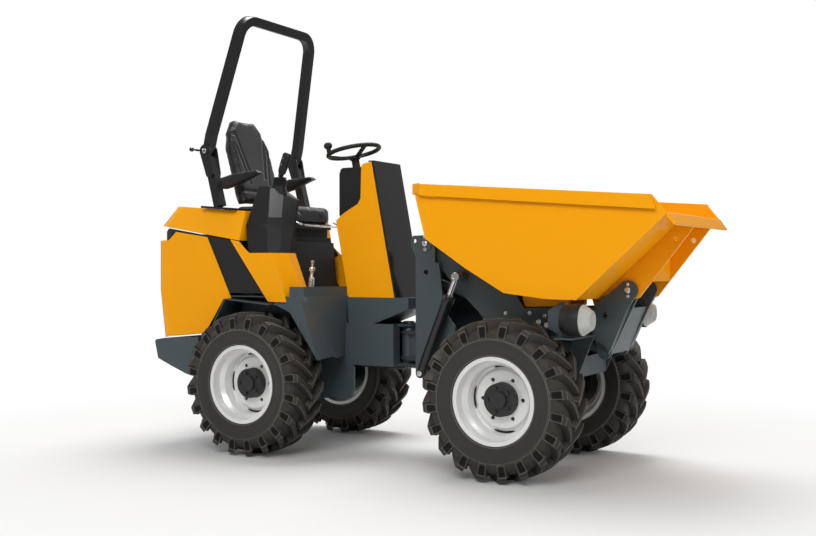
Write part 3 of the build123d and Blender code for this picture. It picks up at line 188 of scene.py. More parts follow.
# ---------------------------------------------------------------- materials
def surface(name, color, rough=0.45, metallic=0.0, coat=0.0, coat_rough=0.1, grain=900.0, grain_height=0.0,
            mottle=0.0, mottle_scale=6.0, rough_var=0.06, sheen=0.0, dust=0.0,
            dust_color=(0.3, 0.27, 0.23), specular=0.5):
    """Painted, moulded or rubber surface: colour variation, roughness variation and fine bump."""
    mat, tree = new_tree(name)
    out = add(tree, "OutputMaterial")
    bsdf = add(tree, "BsdfPrincipled", Metallic=metallic, Coat_Weight=coat, Coat_Roughness=coat_rough,
               Sheen_Weight=sheen, Specular_IOR_Level=specular)
    coords = add(tree, "TexCoord")
    link(tree, bsdf.outputs[0], out.inputs["Surface"])

    def noise(scale, detail):
        node = add(tree, "TexNoise", Scale=scale, Detail=detail)
        link(tree, coords.outputs["Object"], node.inputs["Vector"])
        return node.outputs["Fac"]

    dark = tuple(c * (1 - mottle) for c in color)
    lite = tuple(min(1.0, c * (1 + 0.5 * mottle)) for c in color)
    mix = add(tree, "Mix", {"data_type": "RGBA"}, A=(*dark, 1.0), B=(*lite, 1.0))
    link(tree, noise(mottle_scale, 4.0), mix.inputs["Factor"])
    color_out = mix.outputs["Result"]
    if dust > 0:
        # dust lies on the faces that look up
        geo = add(tree, "NewGeometry")
        sep = add(tree, "SeparateXYZ")
        up = add(tree, "MapRange", From_Min=0.2, From_Max=1.0, To_Max=dust)
        dusty = add(tree, "Mix", {"data_type": "RGBA"}, B=(*dust_color, 1.0))
        link(tree, geo.outputs["Normal"], sep.inputs[0])
        link(tree, sep.outputs["Z"], up.inputs["Value"])
        link(tree, up.outputs[0], dusty.inputs["Factor"])
        link(tree, color_out, dusty.inputs["A"])
        color_out = dusty.outputs["Result"]
    link(tree, color_out, bsdf.inputs["Base Color"])
    span = add(tree, "MapRange", To_Min=max(0.03, rough - rough_var), To_Max=min(1.0, rough + rough_var))
    link(tree, noise(35.0, 3.0), span.inputs["Value"])
    link(tree, span.outputs[0], bsdf.inputs["Roughness"])
    if grain_height > 0:
        bump = add(tree, "Bump", Strength=0.35, Distance=grain_height)
        link(tree, noise(grain, 2.0), bump.inputs["Height"])
        link(tree, bump.outputs[0], bsdf.inputs["Normal"])
    return mat


yellow = surface("machine_yellow_paint", (0.97, 0.39, 0.001), rough=0.36, coat=0.08, coat_rough=0.12,
                 mottle=0.03, mottle_scale=2.0, grain=260.0, grain_height=0.0004, specular=0.16)
grey = surface("frame_grey_paint", (0.056, 0.075, 0.083), rough=0.42, coat=0.08, coat_rough=0.2, mottle=0.06,
               mottle_scale=3.0, grain=420.0, grain_height=0.0004)
black = surface("black_paint", (0.007, 0.007, 0.008), rough=0.32, coat=0.15, coat_rough=0.12, mottle=0.1,
                grain=420.0, grain_height=0.0003)
gloss_black = surface("gloss_black_cover", (0.006, 0.006, 0.007), rough=0.14, coat=0.6, coat_rough=0.05,
                      mottle=0.1, grain=300.0, grain_height=0.0002)
plastic = surface("moulded_black_plastic", (0.011, 0.011, 0.012), rough=0.5, specular=0.35, mottle=0.12,
                  grain=700.0, grain_height=0.0012)
rubber = surface("soft_rubber", (0.01, 0.01, 0.01), rough=0.6, specular=0.35, mottle=0.15, grain=500.0,
                 grain_height=0.0009)
tyre_mat = surface("tyre_rubber", (0.036, 0.032, 0.028), rough=0.6, specular=0.35, mottle=0.22,
                   mottle_scale=9.0, grain=150.0, grain_height=0.0014, dust=0.08,
                   dust_color=(0.12, 0.1, 0.085))
tyre_wall_mat = surface("tyre_wall_rubber", (0.03, 0.028, 0.025), rough=0.48, specular=0.4, mottle=0.16,
                        mottle_scale=14.0, grain=300.0, grain_height=0.0006)
silver = surface("rim_silver_paint", (0.84, 0.84, 0.83), rough=0.3, metallic=0.25, coat=0.3, coat_rough=0.15,
                 mottle=0.04, grain=600.0, grain_height=0.0003)
hub_mat = surface("cast_hub_black", (0.018, 0.018, 0.019), rough=0.42, mottle=0.2, grain=260.0,
                  grain_height=0.0014)
chrome = surface("hard_chrome", (0.8, 0.81, 0.83), rough=0.12, metallic=1.0, mottle=0.02, grain=300.0)
zinc = surface("zinc_plate", (0.72, 0.72, 0.7), rough=0.28, metallic=1.0, mottle=0.12, mottle_scale=40.0)
lens_mat = surface("lamp_lens_pale", (0.46, 0.47, 0.45), rough=0.2, coat=0.3, mottle=0.04, grain=90.0,
                   grain_height=0.0015)
vinyl = surface("seat_vinyl_black", (0.01, 0.01, 0.011), rough=0.42, sheen=0.1, specular=0.4, mottle=0.14,
                grain=420.0, grain_height=0.0014)
# painted highlight: the lugs' rounded edges get this lighter rubber colour, standing in for the light they
# catch
lug_edge_highlight = surface("tyre_lug_edge_highlight", (0.15, 0.137, 0.118), rough=0.55, specular=0.35, mottle=0.25,
                    mottle_scale=20.0, grain=200.0, grain_height=0.0008)
# painted shade: near black for the recesses in the lugs' feet, darker than the tyre rubber, where shade
# falls
recess_painted_shade = surface("tyre_recess_painted_shade", (0.007, 0.0065, 0.006), rough=0.75, specular=0.2, mottle=0.2,
                      grain=200.0, grain_height=0.0006)
white_pad = surface("white_wear_pad", (0.8, 0.8, 0.77), rough=0.5, mottle=0.06, grain=400.0,
                    grain_height=0.0004)
panel_grey = surface("dash_panel_grey", (0.11, 0.115, 0.12), rough=0.45, mottle=0.08, grain=500.0,
                     grain_height=0.0006)


def paint(obj, mat):
    if len(obj.material_slots) == 0:
        obj.data.materials.append(mat)
    for s in obj.material_slots:
        s.material = mat


PLAIN_EDGE = 0.0014
WIDE_EDGE = 0.0022
WIDE_EDGED = ("skip", "top_cover", "console", "pillars")


def soften(obj, width):
    """Weld the split shells and round the edges a little, so that they catch light."""
    weld = obj.modifiers.new("weld", "WELD")
    weld.merge_threshold = 0.00003
    bev = obj.modifiers.new("bevel", "BEVEL")
    bev.width = width
    bev.segments = 2
    bev.limit_method = "ANGLE"
    bev.angle_limit = math.radians(34.0)
    bev.harden_normals = True
    bev.use_clamp_overlap = True


look = {
    "side_panels": yellow, "top_cover": yellow, "pillars": yellow, "scuttle_sides": yellow, "skip": yellow,
    "skip_sides": yellow, "skip_rim": yellow, "skip_ribs": yellow, "skip_bearers": yellow,
    "lamp_brackets": grey, "mast_plates": grey, "rear_frame": grey, "counterweight": grey, "fenders": grey,
    "front_frame": grey, "lift_arm": grey, "carriage": grey, "lower_links": grey,
    "rops_legs": black, "rops_hoop": black, "engine_housing": plastic,
    "seat_box": plastic, "scuttle_front": gloss_black, "lift_barrels": black, "tip_barrel": black,
    "steer_barrel": black, "rear_axle": black, "front_axle": black, "engine_block": black,
    "lift_rods": chrome, "tip_rod": chrome, "steer_rod": chrome, "seat_cushion": vinyl, "seat_back": vinyl,
    "armrests": vinyl, "console": plastic, "joystick": rubber, "dash": plastic, "steering_wheel": rubber,
    "seat_suspension": rubber, "headlights": plastic,
}
for corner in CORNERS:
    look["tyre_" + corner] = tyre_mat
    look["rim_" + corner] = silver
    look["hub_" + corner] = hub_mat
for name, mat in look.items():
    paint(nodes[name], mat)
    if not name.startswith("tyre_"):
        soften(nodes[name], WIDE_EDGE if name in WIDE_EDGED else PLAIN_EDGE)


# ---------------------------------------------------------------- mesh helpers
def make_object(name, bm, mat, body, smooth=None):
    mesh = bpy.data.meshes.new(name)
    bmesh.ops.recalc_face_normals(bm, faces=bm.faces)
    bm.to_mesh(mesh)
    bm.free()
    obj = bpy.data.objects.new(name, mesh)
    scene.collection.objects.link(obj)
    for m in (mat if isinstance(mat, (list, tuple)) else [mat]):
        mesh.materials.append(m)
    if smooth is not None:
        mesh.shade_smooth()
        mesh.set_sharp_from_angle(angle=math.radians(smooth))
    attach(obj, body)
    return obj


def skin(bm, rows):
    """Join each closed row of points to the next with quads."""
    for a, b in zip(rows, rows[1:]):
        for i in range(len(a)):
            j = (i + 1) % len(a)
            bm.faces.new((a[i], a[j], b[j], b[i]))


def capped_skin(bm, rows):
    skin(bm, rows)
    bm.faces.new(rows[0])
    bm.faces.new(rows[-1])


# ---------------------------------------------------------------- tyres
TYRE_R = 0.382
LUGS = 20
PITCH = 2 * math.pi / LUGS
# trail in the tables below is the share of this angle by which a lug lies behind its start
TRAIL_ANGLE = PITCH * 0.98
CARCASS_STEPS = 144
# the carcass is sidewall rubber inside this radius
WALL_R = 0.2905
WALL_SLOT, EDGE_HIGHLIGHT_SLOT, RECESS_SHADE_SLOT = 1, 2, 3
CARCASS = [
    # radius, half width
    (0.2095, 0.1195), (0.214, 0.1225), (0.226, 0.1215), (0.244, 0.127), (0.262, 0.1305), (0.279, 0.1318),
    (0.286, 0.1312), (0.290, 0.1262), (0.305, 0.1252), (0.319, 0.121), (0.331, 0.111), (0.339, 0.096),
    (0.3445, 0.07), (0.347, 0.035), (0.348, 0.0),
]
BEAD = [(0.2, -0.106), (0.196, -0.09), (0.196, 0.09), (0.2, 0.106)]
BAR = [
    # y, outer radius, inner radius, trail, half width, from the middle of the tread to the shoulder
    (-0.004, 0.3805, 0.338, 0.00, 0.0115),
    (0.018, 0.382, 0.338, 0.18, 0.0125),
    (0.050, 0.382, 0.335, 0.46, 0.0140),
    (0.080, 0.3812, 0.330, 0.70, 0.0160),
    (0.103, 0.378, 0.322, 0.87, 0.0185),
    (0.1165, 0.3715, 0.310, 0.96, 0.0205),
]
FOOT = [
    # y of the outer face, radius, trail, half width, down the shoulder
    (0.1235, 0.352, 1.00, 0.0215),
    (0.1298, 0.318, 1.01, 0.0200),
    (0.1285, 0.292, 1.02, 0.0170),
]


def around(bm, radius, angle, y):
    """Point on a circle round the wheel's axle, with angle 0 at the top."""
    return bm.verts.new((radius * math.sin(angle), y, radius * math.cos(angle)))


def carcass(bm):
    loop = CARCASS + [(r, -y) for r, y in reversed(CARCASS[:-1])] + BEAD
    rows = [[around(bm, r, 2 * math.pi * i / CARCASS_STEPS, y) for r, y in loop]
            for i in range(CARCASS_STEPS)]
    for p, q in zip(rows, rows[1:] + rows[:1]):
        for j in range(len(loop)):
            k = (j + 1) % len(loop)
            f = bm.faces.new((p[j], p[k], q[k], q[j]))
            f.material_index = WALL_SLOT if max(loop[j][0], loop[k][0]) <= WALL_R else 0
            f.smooth = True


def lug(bm, side, start):
    """Bar from the middle of the tread to the shoulder, and its foot. Returns the foot's outer faces."""
    rings = []
    for y, ro, ri, trail, half in BAR:
        a = start - trail * TRAIL_ANGLE
        top = half / ro
        low = (half + 0.0062) / ri
        rings.append([around(bm, rad, ang, side * y) for ang, rad in (
            (a - low, ri), (a - top, ro - 0.0022), (a - top * 0.86, ro), (a + top * 0.86, ro),
            (a + top, ro - 0.0022), (a + low, ri))])
    for p, q in zip(rings, rings[1:]):
        for j in range(5):
            f = bm.faces.new((p[j], p[j + 1], q[j + 1], q[j]))
            f.smooth = False
    bm.faces.new(rings[0])
    end = rings[-1]
    face_l, face_r, back_l, back_r = [end[1]], [end[4]], [end[0]], [end[5]]
    for y, r, trail, half in FOOT:
        a = start - trail * TRAIL_ANGLE
        wide = half / r
        face_l.append(around(bm, r, a - wide, side * y))
        face_r.append(around(bm, r, a + wide, side * y))
        wide = (half + 0.005) / r
        deep = y - 0.019 if r > 0.3 else y - 0.006
        back_l.append(around(bm, r, a - wide, side * deep))
        back_r.append(around(bm, r, a + wide, side * deep))
    bm.faces.new((*end[1:5], face_r[1], face_l[1]))
    panels = [bm.faces.new((face_l[j], face_r[j], face_r[j + 1], face_l[j + 1]))
              for j in range(1, len(FOOT))]
    for j in range(len(FOOT)):
        bm.faces.new((face_l[j], face_l[j + 1], back_l[j + 1], back_l[j]))
        bm.faces.new((face_r[j], back_r[j], back_r[j + 1], face_r[j + 1]))
    bm.faces.new((face_l[-1], face_r[-1], back_r[-1], back_l[-1]))
    return panels


def recess(bm, panels):
    """Shallow recess in the outer face of a lug's foot, with painted shade: its faces are near black."""
    bmesh.ops.inset_region(bm, faces=panels, thickness=0.0055, depth=0.0, use_even_offset=True)
    verts = {v for f in panels for v in f.verts}
    centre = sum((v.co for v in verts), Vector()) / len(verts)
    inward = Vector((0, -1 if centre.y > 0 else 1, 0)) * 0.0035
    for v in verts:
        v.co += inward
    # the recess's faces take the near-black painted shade
    for f in panels:
        f.material_index = RECESS_SHADE_SLOT


def tyre_mesh(bm):
    """Carcass by revolving a profile about Y, then 20 lugs a side from the middle over the shoulder."""
    carcass(bm)
    feet = [lug(bm, side, PITCH * (n + (0.5 if side < 0 else 0.0))) for side in (1, -1)
            for n in range(LUGS)]
    bm.normal_update()
    for panels in feet:
        recess(bm, panels)


def wheel_centre(corner):
    low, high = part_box("tyre_" + corner)
    return (low + high) / 2


def build_tyres():
    for corner in CORNERS:
        centre = wheel_centre(corner)
        bm = bmesh.new()
        tyre_mesh(bm)
        bmesh.ops.translate(bm, verts=bm.verts, vec=(centre.x, centre.y, TYRE_R))
        obj = make_object("traction_tyre_" + corner, bm, [tyre_mat, tyre_wall_mat, lug_edge_highlight, recess_painted_shade],
                          "wheel_" + corner, None)
        obj.data.set_sharp_from_angle(angle=math.radians(32))
        # the bevels round the lugs' edges take the lighter colour of the painted highlight
        bev = obj.modifiers.new("bevel", "BEVEL")
        bev.width = 0.0016
        bev.segments = 2
        bev.limit_method = "ANGLE"
        bev.angle_limit = math.radians(38)
        bev.material = EDGE_HIGHLIGHT_SLOT
        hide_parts("tyre_" + corner)


build_tyres()


# ---------------------------------------------------------------- turned parts and bolts
def place(origin, axis):
    """Frame at origin whose Z runs along axis."""
    z = Vector(axis).normalized()
    x = z.orthogonal().normalized()
    m = Matrix((x, z.cross(x), z)).transposed().to_4x4()
    m.translation = Vector(origin)
    return m


def lathe(bm, profile, at, steps=28):
    """Turned shape: profile of (radius, height) points, revolved about the frame's Z."""
    rows = []
    for r, h in profile:
        if r < 1e-6:
            rows.append([bm.verts.new(at @ Vector((0, 0, h)))])
        else:
            rows.append([bm.verts.new(at @ Vector((r * math.cos(2 * math.pi * i / steps),
                                                   r * math.sin(2 * math.pi * i / steps), h)))
                         for i in range(steps)])
    for a, b in zip(rows, rows[1:]):
        for i in range(steps):
            j = (i + 1) % steps
            if len(a) == 1:
                bm.faces.new((a[0], b[i], b[j]))
            elif len(b) == 1:
                bm.faces.new((a[i], b[0], a[j]))
            else:
                bm.faces.new((a[i], a[j], b[j], b[i]))


def bolt(bm, at, size):
    """Washer and chamfered hexagon head."""
    lathe(bm, [(0, 0), (size * 1.25, 0), (size * 1.25, size * 0.22), (0, size * 0.22)], at, 24)
    lathe(bm, [(0, size * 0.2), (size, size * 0.2), (size, size * 0.8), (size * 0.84, size), (0, size)],
          at, 6)


def turned(name, profile, spots, mat, body, smooth=35, steps=28):
    bm = bmesh.new()
    for origin, axis in spots:
        lathe(bm, profile, place(origin, axis), steps)
    return make_object(name, bm, mat, body, smooth)


def bolts(name, spots, size, mat, body):
    bm = bmesh.new()
    for origin, axis in spots:
        bolt(bm, place(origin, axis), size)
    return make_object(name, bm, mat, body, 30)


def both(x, y, z):
    """A spot on each side of the machine, facing outward."""
    return [((x, y, z), (0, 1, 0)), ((x, -y, z), (0, -1, 0))]


def at_pin(pin, y, above=0.0):
    return both(pin[0], y, pin[1] + above)


# pins of the lift and tip linkage, as X and Z in metres
LIFT_PIVOT = (0.118, 1.124)
LIFT_FOOT = (0.120, 0.457)
LIFT_EYE = (0.322, 0.953)
TIP_HINGE = (1.196, 0.893)
LINK_PIN = (1.090, 0.773)
# profiles are (radius, height) points
PIN_CAP = [(0, 0), (0.013, 0), (0.0145, 0.002), (0.0145, 0.0045), (0.012, 0.006), (0.005, 0.006),
           (0.004, 0.004), (0, 0.004)]
EYE_RING = [(0.013, 0), (0.021, 0), (0.022, 0.001), (0.021, 0.0025), (0.013, 0.0025), (0.013, 0)]
WEAR_PAD = [(0, 0), (0.013, 0), (0.013, 0.005), (0.0115, 0.0065), (0.0, 0.0065)]
LENS_SHELL = [(0.0712, 0), (0.0712, 0.003), (0.0690, 0.0055), (0.0705, 0.0060), (0.0640, 0.0135),
              (0.0650, 0.0142), (0.0440, 0.0455), (0.0395, 0.0464), (0.0385, 0.0455), (0, 0.0459)]


def pin_caps(name, spots, mat, body):
    turned(name, PIN_CAP, spots, mat, body)


pin_caps("lift_pivot_pin_caps", at_pin(LIFT_PIVOT, 0.197), zinc, "front_body")
bolts("lift_pivot_keeper_bolts", at_pin(LIFT_PIVOT, 0.196, -0.031) + at_pin(LIFT_PIVOT, 0.196, 0.031),
      0.008, zinc, "front_body")
pin_caps("lift_foot_pin_caps", at_pin(LIFT_FOOT, 0.257), zinc, "front_body")
turned("lift_rod_eye_rings", EYE_RING, at_pin(LIFT_EYE, 0.2511), zinc, "lift_rods_body")
bolts("arm_plate_bolts", both(0.558, 0.153, 0.772) + both(0.768, 0.153, 0.762) + both(0.688, 0.153, 0.775)
      + both(0.826, 0.153, 0.744), 0.0085, zinc, "lift_arm_body")
turned("arm_wear_pads", WEAR_PAD, both(0.736, 0.153, 0.732) + both(0.779, 0.153, 0.718), white_pad,
       "lift_arm_body", 35, 8)
turned("lamp_lenses", LENS_SHELL, [((1.0832, y, 0.762), (1, 0, 0)) for y in (0.456, -0.456)],
       lens_mat, "front_body", 25, 40)
pin_caps("tip_hinge_pin_caps", at_pin(TIP_HINGE, 0.1762), zinc, "carriage_body")
bolts("tip_hinge_keeper_bolts", at_pin(TIP_HINGE, 0.170, 0.028) + at_pin(TIP_HINGE, 0.170, -0.028),
      0.0065, zinc, "carriage_body")
# painted shade: gloss black caps stand in for the dark holes at the carriage's link pin
pin_caps("carriage_pin_hole_shade", at_pin(LINK_PIN, 0.1742), gloss_black, "carriage_body")


# ---------------------------------------------------------------- wheels: stamped slots round the disc, as black strips of painted shade
SLOT_R = 0.1565
SLOT_HALF_ANGLE = 0.36
SLOT_STEPS = 6
RIM_HALF_WIDTH = 0.117
# the disc's outer face, inward from the rim's edge, and the slotted ring's step behind that face
DISC_INSET = 0.112
DISC_STEP = 0.020
DISC_AT = RIM_HALF_WIDTH - DISC_INSET - DISC_STEP


def wheel_slot_shade_strips():
    for corner in CORNERS:
        centre = wheel_centre(corner)
        side = 1 if centre.y > 0 else -1
        bm = bmesh.new()
        for q in range(4):
            rows = []
            for i in range(-SLOT_STEPS, SLOT_STEPS + 1):
                a = math.pi / 2 * q + i / SLOT_STEPS * SLOT_HALF_ANGLE
                wide = 1.0 - 0.85 * max(0.0, abs(i) / SLOT_STEPS - 0.75) / 0.25
                row = []
                for offset, rise in ((-0.0052, 0.0009), (-0.0042, 0.0005), (0.0042, 0.0005),
                                     (0.0052, 0.0009)):
                    r = SLOT_R + offset * wide
                    row.append(bm.verts.new((centre.x + r * math.sin(a), centre.y + side * (DISC_AT + rise),
                                             centre.z + r * math.cos(a))))
                rows.append(row)
            for a, b in zip(rows, rows[1:]):
                for j in range(3):
                    bm.faces.new((a[j], a[j + 1], b[j + 1], b[j]))
        # black strips: painted shade standing in for the dark openings of the slots
        make_object("wheel_slot_shade_strips_" + corner, bm, black, "wheel_" + corner, 30)


wheel_slot_shade_strips()


# ---------------------------------------------------------------- driver's place: trim
def rounded_loop(half_w, half_h, r, n=6):
    pts = []
    for cx, cy, start in ((half_w - r, half_h - r, 0), (-half_w + r, half_h - r, 90),
                          (-half_w + r, -half_h + r, 180), (half_w - r, -half_h + r, 270)):
        for i in range(n + 1):
            a = math.radians(start + 90 * i / n)
            pts.append((cx + r * math.cos(a), cy + r * math.sin(a)))
    return pts


def ringed_plate(name, half_w, half_h, r, levels, centre, mat):
    """Stack of rounded outlines facing the driver (towards -X): levels of (inset, height)."""
    bm = bmesh.new()
    rows = [[bm.verts.new((centre[0] - rise, centre[1] + u, centre[2] + v))
             for u, v in rounded_loop(half_w - inset, half_h - inset, max(0.002, r - inset))]
            for inset, rise in levels]
    skin(bm, rows)
    bm.faces.new(rows[-1])
    make_object(name, bm, mat, "rear_body", 35)


ringed_plate("dash_rubber_frame", 0.100, 0.130, 0.022,
             [(0, 0), (0, 0.006), (0.003, 0.009), (0.010, 0.009), (0.012, 0.004)],
             (-0.4692, 0, 1.404), rubber)
ringed_plate("dash_panel", 0.0875, 0.1175, 0.014, [(0, 0), (0, 0.005), (0.0015, 0.0062)],
             (-0.4693, 0, 1.404), panel_grey)
pin_caps("roll_frame_hinge_caps", both(-1.146, 0.4432, 1.648), zinc, "rear_body")
LOCK_LEVER = [(0, -0.002), (0.006, 0), (0.006, 0.028), (0.0045, 0.030), (0.0045, 0.046), (0.009, 0.049),
              (0.0125, 0.056), (0.0125, 0.064), (0.009, 0.071), (0, 0.074)]
turned("roll_frame_lock_levers", LOCK_LEVER, both(-1.186, 0.443, 1.652), gloss_black, "rear_body")

# the joystick stands on the console's top: bellows, then a grip that leans forward, with two buttons
STICK_Y = -0.312
BELLOWS_Z = 1.447
BELLOWS_PITCH = 0.0088


def joystick_bellows():
    profile = [(0.034, BELLOWS_Z)]
    for ridge in range(5):
        low = BELLOWS_Z + BELLOWS_PITCH * ridge
        wide = 0.0395 - 0.0009 * ridge
        profile += [(wide - 0.005, low + 0.0004), (wide, low + 0.003), (wide, low + 0.0056),
                    (wide - 0.005, low + 0.0084)]
    profile += [(0.027, 1.4925), (0.013, 1.494)]
    bm = bmesh.new()
    lathe(bm, profile, Matrix.Translation((-0.7235, STICK_Y, 0.0)), 32)
    make_object("joystick_bellows", bm, rubber, "rear_body", 60)


def joystick_grip(start, end, levels):
    """Rounded sections lofted from start to end: levels of (share of the way, half width, half depth)."""
    start, end = Vector(start), Vector(end)
    z = (end - start).normalized()
    y = Vector((0, 1, 0))
    x = y.cross(z).normalized()
    bm = bmesh.new()
    rows = []
    for share, half_w, half_d in levels:
        centre = start.lerp(end, share)
        rows.append([bm.verts.new(centre + x * u + y * v)
                     for u, v in rounded_loop(half_w, half_d, 0.7 * min(half_w, half_d), 5)])
    capped_skin(bm, rows)
    make_object("joystick_grip", bm, plastic, "rear_body", 40)


def console_switch_panel():
    """Paler panel on the console's outer facet, which leans and narrows from z 1.230 up to 1.443."""
    corners = []
    for z in (1.272, 1.430):
        share = (z - 1.230) / 0.213
        rear = Vector((-0.761 + 0.004 * share, -0.380 + 0.018 * share, z))
        front = Vector((-0.705 + 0.013 * share, -0.322 + 0.015 * share, z))
        corners.append((rear.lerp(front, 0.06), rear.lerp(front, 1 - 0.06)))
    (low_rear, low_front), (high_rear, high_front) = corners
    out = (low_front - low_rear).cross(high_rear - low_rear).normalized()
    if out.y > 0:
        out = -out
    outline = (low_rear, low_front, high_front, high_rear)
    middle = (low_rear + low_front + high_rear + high_front) / 4
    bm = bmesh.new()
    rows = [[bm.verts.new(p.lerp(middle, draw) + out * rise) for p in outline]
            for rise, draw in ((0.0004, 0.0), (0.0020, 0.0), (0.0028, 0.05))]
    skin(bm, rows)
    bm.faces.new(rows[-1])
    make_object("console_switch_panel", bm, panel_grey, "rear_body", 30)


joystick_bellows()
joystick_grip((-0.7215, STICK_Y, 1.494), (-0.671, STICK_Y, 1.620),
              [(0, 0.012, 0.011), (0.12, 0.014, 0.012), (0.2, 0.021, 0.015), (0.5, 0.0235, 0.019),
               (0.86, 0.024, 0.0195), (0.96, 0.022, 0.018), (1.0, 0.017, 0.013)])
turned("joystick_buttons", [(0, 0), (0.0055, 0), (0.0055, 0.003), (0.0045, 0.004), (0, 0.004)],
       [((-0.688, STICK_Y - 0.0195, 1.594), (0, -1, 0)), ((-0.700, STICK_Y - 0.0195, 1.560), (0, -1, 0))],
       panel_grey, "rear_body")
console_switch_panel()


def seat_slide_lever(points, radius=0.0055, sides=12):
    """Bent rod under the front of the seat: its left half's points, mirrored for the other half."""
    points = points + [(x, -y, z) for x, y, z in reversed(points[:-1])]
    pts = [Vector(p) for p in points]
    bm = bmesh.new()
    rows = []
    for i, p in enumerate(pts):
        ahead = (pts[min(i + 1, len(pts) - 1)] - pts[max(i - 1, 0)]).normalized()
        x = ahead.cross(Vector((0, 0, 1))).normalized()
        y = ahead.cross(x)
        rows.append([bm.verts.new(p + x * radius * math.cos(2 * math.pi * k / sides)
                                  + y * radius * math.sin(2 * math.pi * k / sides)) for k in range(sides)])
    capped_skin(bm, rows)
    make_object("seat_slide_lever", bm, zinc, "rear_body", 50)


seat_slide_lever([(-0.720, -0.205, 1.262), (-0.690, -0.203, 1.248), (-0.672, -0.190, 1.238),
                  (-0.668, -0.160, 1.234), (-0.668, 0.0, 1.232)])

# the steering wheel leans back, and its spinner knob stands on the rim's right rear
WHEEL_LEAN = math.radians(12)
WHEEL_MIDDLE = Vector((-0.446, 0, 1.646))
knob_axis = (-math.sin(WHEEL_LEAN), 0, math.cos(WHEEL_LEAN))
knob_rear = WHEEL_MIDDLE + Vector((math.cos(WHEEL_LEAN), 0, math.sin(WHEEL_LEAN))) * -0.087
turned("steering_spinner_knob", [(0.0135, 0.030), (0.019, 0.033), (0.0235, 0.041), (0.0235, 0.050),
       (0.019, 0.059), (0.010, 0.0635), (0, 0.0645)], [(knob_rear + Vector((0, -0.116, 0)), knob_axis)],
       rubber, "steering_wheel_body", 50)

# toggle: foot, eight turns of spring, then the handle
latch = [(0, 0), (0.030, 0), (0.030, 0.006), (0.012, 0.009), (0.010, 0.022)]
for turn in range(8):
    turn_z = 0.024 + 0.009 * turn
    latch += [(0.0125, turn_z), (0.0165, turn_z + 0.003), (0.0125, turn_z + 0.006)]
latch += [(0.009, 0.100), (0.009, 0.126), (0.015, 0.130), (0.017, 0.142), (0.013, 0.150), (0.006, 0.152),
          (0.006, 0.172), (0.010, 0.176), (0.010, 0.184), (0, 0.187)]
turned("parking_brake_toggle", latch, [((-0.53, -0.30, 0.852), (0.08, 0, 1))], zinc, "rear_body",
       40)


# ---------------------------------------------------------------- seat: padded pieces
CLOTH_FRAMES = 20
PRESSURE = 4.0
CAD_SKIN = 0.0004


def cloth_swell(obj, cap):
    """Blow the piece up as cloth, with each point's move capped, and keep the result as plain mesh."""
    start = [v.co.copy() for v in obj.data.vertices]
    mod = obj.modifiers.new("cloth", "CLOTH")
    mod.settings.quality = 5
    mod.settings.mass = 0.3
    mod.settings.use_pressure = True
    mod.settings.uniform_pressure_force = PRESSURE
    mod.settings.effector_weights.gravity = 0.0
    mod.settings.tension_stiffness = 12.0
    mod.settings.compression_stiffness = 12.0
    mod.settings.shear_stiffness = 5.0
    mod.settings.bending_stiffness = 0.8
    mod.point_cache.frame_start = 1
    mod.point_cache.frame_end = CLOTH_FRAMES
    for f in range(1, CLOTH_FRAMES + 1):
        scene.frame_set(f)
    shape = obj.evaluated_get(bpy.context.evaluated_depsgraph_get())
    moved = [v.co.copy() for v in shape.data.vertices]
    obj.modifiers.remove(mod)
    for v, a, b in zip(obj.data.vertices, start, moved):
        step = b - a
        if step.length > cap:
            step = step.normalized() * cap
        v.co = a + step
    scene.frame_set(1)


def bake_modifiers(obj):
    """Replace the mesh by what its modifiers make of it."""
    shape = obj.evaluated_get(bpy.context.evaluated_depsgraph_get())
    mesh = bpy.data.meshes.new_from_object(shape)
    obj.modifiers.clear()
    old = obj.data
    obj.data = mesh
    bpy.data.meshes.remove(old)


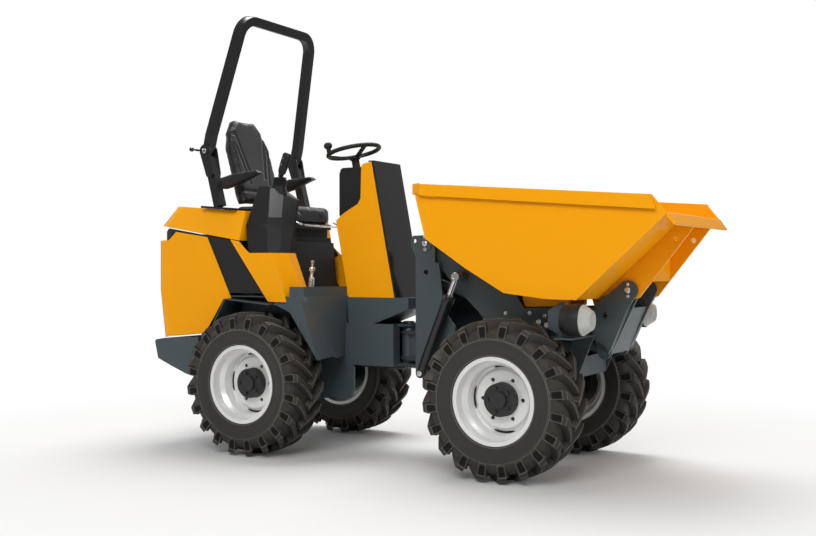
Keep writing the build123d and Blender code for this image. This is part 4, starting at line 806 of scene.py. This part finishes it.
def padded(node, name, shrink, cap, sew, voxel, rounding):
    """Soft piece from a node's solid: remeshed, drawn in, blown up as cloth, then sewn, inside its box."""
    obj = bpy.data.objects.new(name, nodes[node].data.copy())
    scene.collection.objects.link(obj)
    obj.data.materials.clear()
    obj.data.materials.append(vinyl)
    rem = obj.modifiers.new("remesh", "REMESH")
    rem.mode = "VOXEL"
    rem.voxel_size = voxel
    rem.use_smooth_shade = True
    soft = obj.modifiers.new("smooth", "SMOOTH")
    soft.factor = 0.5
    soft.iterations = rounding
    bake_modifiers(obj)
    low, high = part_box(node)
    normals = [v.normal.copy() for v in obj.data.vertices]
    for v, n in zip(obj.data.vertices, normals):
        v.co -= n * shrink
    cloth_swell(obj, cap)
    for v in obj.data.vertices:
        if sew:
            v.co += sew(v.co, v.normal)
    for v in obj.data.vertices:
        for k in range(3):
            v.co[k] = min(max(v.co[k], low[k] + CAD_SKIN), high[k] - CAD_SKIN)
    sub = obj.modifiers.new("subdivision", "SUBSURF")
    sub.levels = 1
    sub.render_levels = 1
    obj.data.shade_smooth()
    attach(obj, "rear_body")
    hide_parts(node)
    return obj


def groove(distance, width, depth):
    """Depth of a sewn channel at a distance from its line."""
    return depth * math.exp(-(distance / width) ** 2)


LEAN = math.radians(15.9)
BACK_FOOT = (-1.098, 1.350)


def back_uv(p):
    """Place on the backrest: across, and up along its lean."""
    return p.y, (p.x - BACK_FOOT[0]) * -math.sin(LEAN) + (p.z - BACK_FOOT[1]) * math.cos(LEAN)


def sew_back(p, n):
    """Two pairs of rising seams and one across, on the front."""
    u, v = back_uv(p)
    if n.x < 0.3:
        return Vector((0, 0, 0))
    crease = groove(abs(u) - 0.070 - 0.25 * (v - 0.2), 0.006, 0.007) * (0.17 < v < 0.43)
    crease += groove(abs(u) - 0.105 - 0.25 * (v - 0.2), 0.006, 0.005) * (0.13 < v < 0.36)
    depth = crease + groove(v - 0.085, 0.008, 0.006)
    return -n * depth


def sew_cushion(p, n):
    """A seam along each side and one across between them, on the top."""
    if n.z < 0.3:
        return Vector((0, 0, 0))
    depth = groove(abs(p.y) - 0.150, 0.007, 0.006) + groove(p.x + 0.860, 0.007, 0.005) * (abs(p.y) < 0.15)
    return -n * depth


padded("seat_cushion", "seat_cushion_vinyl", shrink=0.010, cap=0.014, sew=sew_cushion, voxel=0.006,
       rounding=6)
padded("seat_back", "seat_back_vinyl", shrink=0.006, cap=0.014, sew=sew_back, voxel=0.006,
       rounding=26)
padded("armrests", "armrest_pads", shrink=0.003, cap=0.006, sew=None, voxel=0.005, rounding=5)
